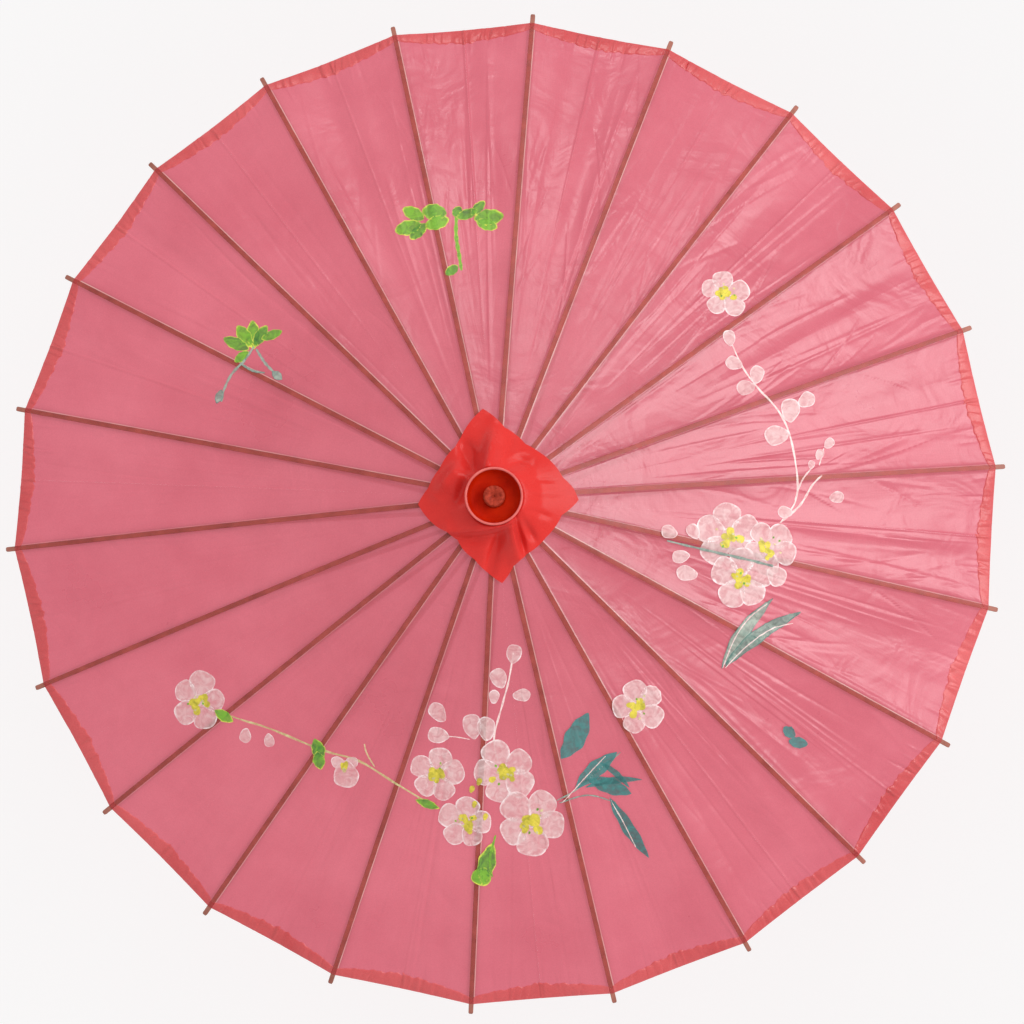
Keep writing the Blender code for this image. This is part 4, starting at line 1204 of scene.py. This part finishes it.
def area_light(name, azimuth, elevation, distance, size, power):
    data = bpy.data.lights.new(name, "AREA")
    data.size = size
    data.energy = power
    light = bpy.data.objects.new(name, data)
    a, e = math.radians(azimuth), math.radians(elevation)
    target = Vector((0, 0, 0.45))
    out = Vector((math.cos(a) * math.cos(e), math.sin(a) * math.cos(e), math.sin(e)))
    light.location = target + out * distance
    light.rotation_mode = "QUATERNION"
    light.rotation_quaternion = out.to_track_quat("Z", "Y")
    bpy.context.scene.collection.objects.link(light)
    lit = bpy.data.collections.new(name + "_lights")
    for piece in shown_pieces():
        lit.objects.link(piece)
    light.light_linking.receiver_collection = lit
    return light


def make_camera():
    rim_centre = Vector((0, 0, 0.394))
    lean_x, lean_y = math.sin(math.radians(2.4)), -math.sin(math.radians(3.5))
    out = Vector((lean_x, lean_y, math.sqrt(1 - lean_x**2 - lean_y**2)))
    data = bpy.data.cameras.new("camera")
    data.lens = 88
    data.sensor_width = 36
    camera = bpy.data.objects.new("camera", data)
    camera.location = rim_centre + out * (5 * SPAN_RADIUS)
    aim = rim_centre + Vector((8 * MM, -3 * MM, 0))
    back = (camera.location - aim).normalized()
    right = Vector((0, 1, 0)).cross(back).normalized()
    camera.rotation_mode = "QUATERNION"
    camera.rotation_quaternion = Matrix((right, back.cross(right), back)).transposed().to_quaternion()
    bpy.context.scene.collection.objects.link(camera)
    bpy.context.scene.camera = camera


# The last argument, 0.85, is the strength of the painted highlight beside each rib, on the side facing the key light.
PINK = cloth_material(
    "pink_cloth", (0.64, 0.098, 0.145), (0.78, 0.165, 0.222), (0.85, 0.28, 0.36),
    0.90, 0.56, 0.31, 1.7, 0.6 * MM, 0.2, 0.85,
)
HEM = cloth_material(
    "hem_cloth", (0.66, 0.072, 0.08), (0.88, 0.21, 0.215), (0.9, 0.3, 0.3),
    0.95, 0.4, 0.3, 0.9, 1.0 * MM, 0.35,
)
CAP = cloth_material(
    "cap_cloth", (0.60, 0.020, 0.017), (0.79, 0.045, 0.037), (0.9, 0.2, 0.15),
    0.985, 0.08, 0.26, 0.2, 0.08 * MM, 0.98,
)
PETAL = paint_material(
    "petal_paint", ((0.76, 0.42, 0.43), (0.86, 0.65, 0.64)), (0.98, 0.84, 0.84), (0.46, 0.72, 0.90)
)
GREEN = paint_material(
    "green_paint", ((0.02, 0.14, 0.03), (0.20, 0.46, 0.03)), (0.80, 0.80, 0.10), (0.85, 0.98, 0.95)
)
POLLEN = paint_material(
    "pollen_paint", ((0.34, 0.32, 0.015), (0.80, 0.66, 0.06)), (0.62, 0.55, 0.06), (0.8, 0.98, 0.9)
)
TEAL = paint_material(
    "teal_paint", ((0.02, 0.15, 0.13), (0.36, 0.44, 0.37)), (0.02, 0.17, 0.15), (0.75, 0.95, 0.85)
)
CREAM = paint_material(
    "cream_paint", ((0.95, 0.62, 0.60), (1.0, 0.84, 0.80)), (1.0, 0.90, 0.88), (0.6, 0.9, 0.85)
)
SEA_GREEN = paint_material(
    "sea_green_paint", ((0.006, 0.09, 0.09), (0.045, 0.23, 0.22)), (0.04, 0.22, 0.22), (0.8, 0.97, 0.9)
)
OLIVE = paint_material(
    "olive_paint", ((0.50, 0.45, 0.16), (0.75, 0.68, 0.35)), (0.80, 0.75, 0.45), (0.6, 0.95, 0.8)
)
RED_LACQUER = lacquer_material("red_lacquer", (0.44, 0.008, 0.0), (0.60, 0.02, 0.001), 0.6, 0.0)
# Paler red of the cup's rolled rim: a painted highlight where light catches the rim.
PAINTED_RIM_HIGHLIGHT = lacquer_material("painted_rim_highlight", (0.62, 0.10, 0.09), (0.76, 0.18, 0.16), 0.3, 0.2)
# The sawn end is deep red-brown: partly the wood's own stain, partly painted reflection of red light from the cup
# around it.
SAWN = bamboo_material("sawn_bamboo", (0.16, 0.008, 0.004), (0.52, 0.06, 0.03), (420, 420, 420), 0.5, 0.1)

build_canopy([PINK, HEM, PETAL, GREEN, POLLEN, TEAL, CREAM, OLIVE, SEA_GREEN])
build_cap_cloth(CAP)
build_cup([RED_LACQUER, PAINTED_RIM_HIGHLIGHT])
build_cut_end(SAWN)
finish_parts()
make_floor()
make_world(0.70, 0.95)
area_light("key", 13, 47, 3.2, 2.1, 62)
area_light("fill", 84, 42, 3.0, 0.8, 11)
make_camera()
bpy.context.scene.view_settings.view_transform = "Standard"
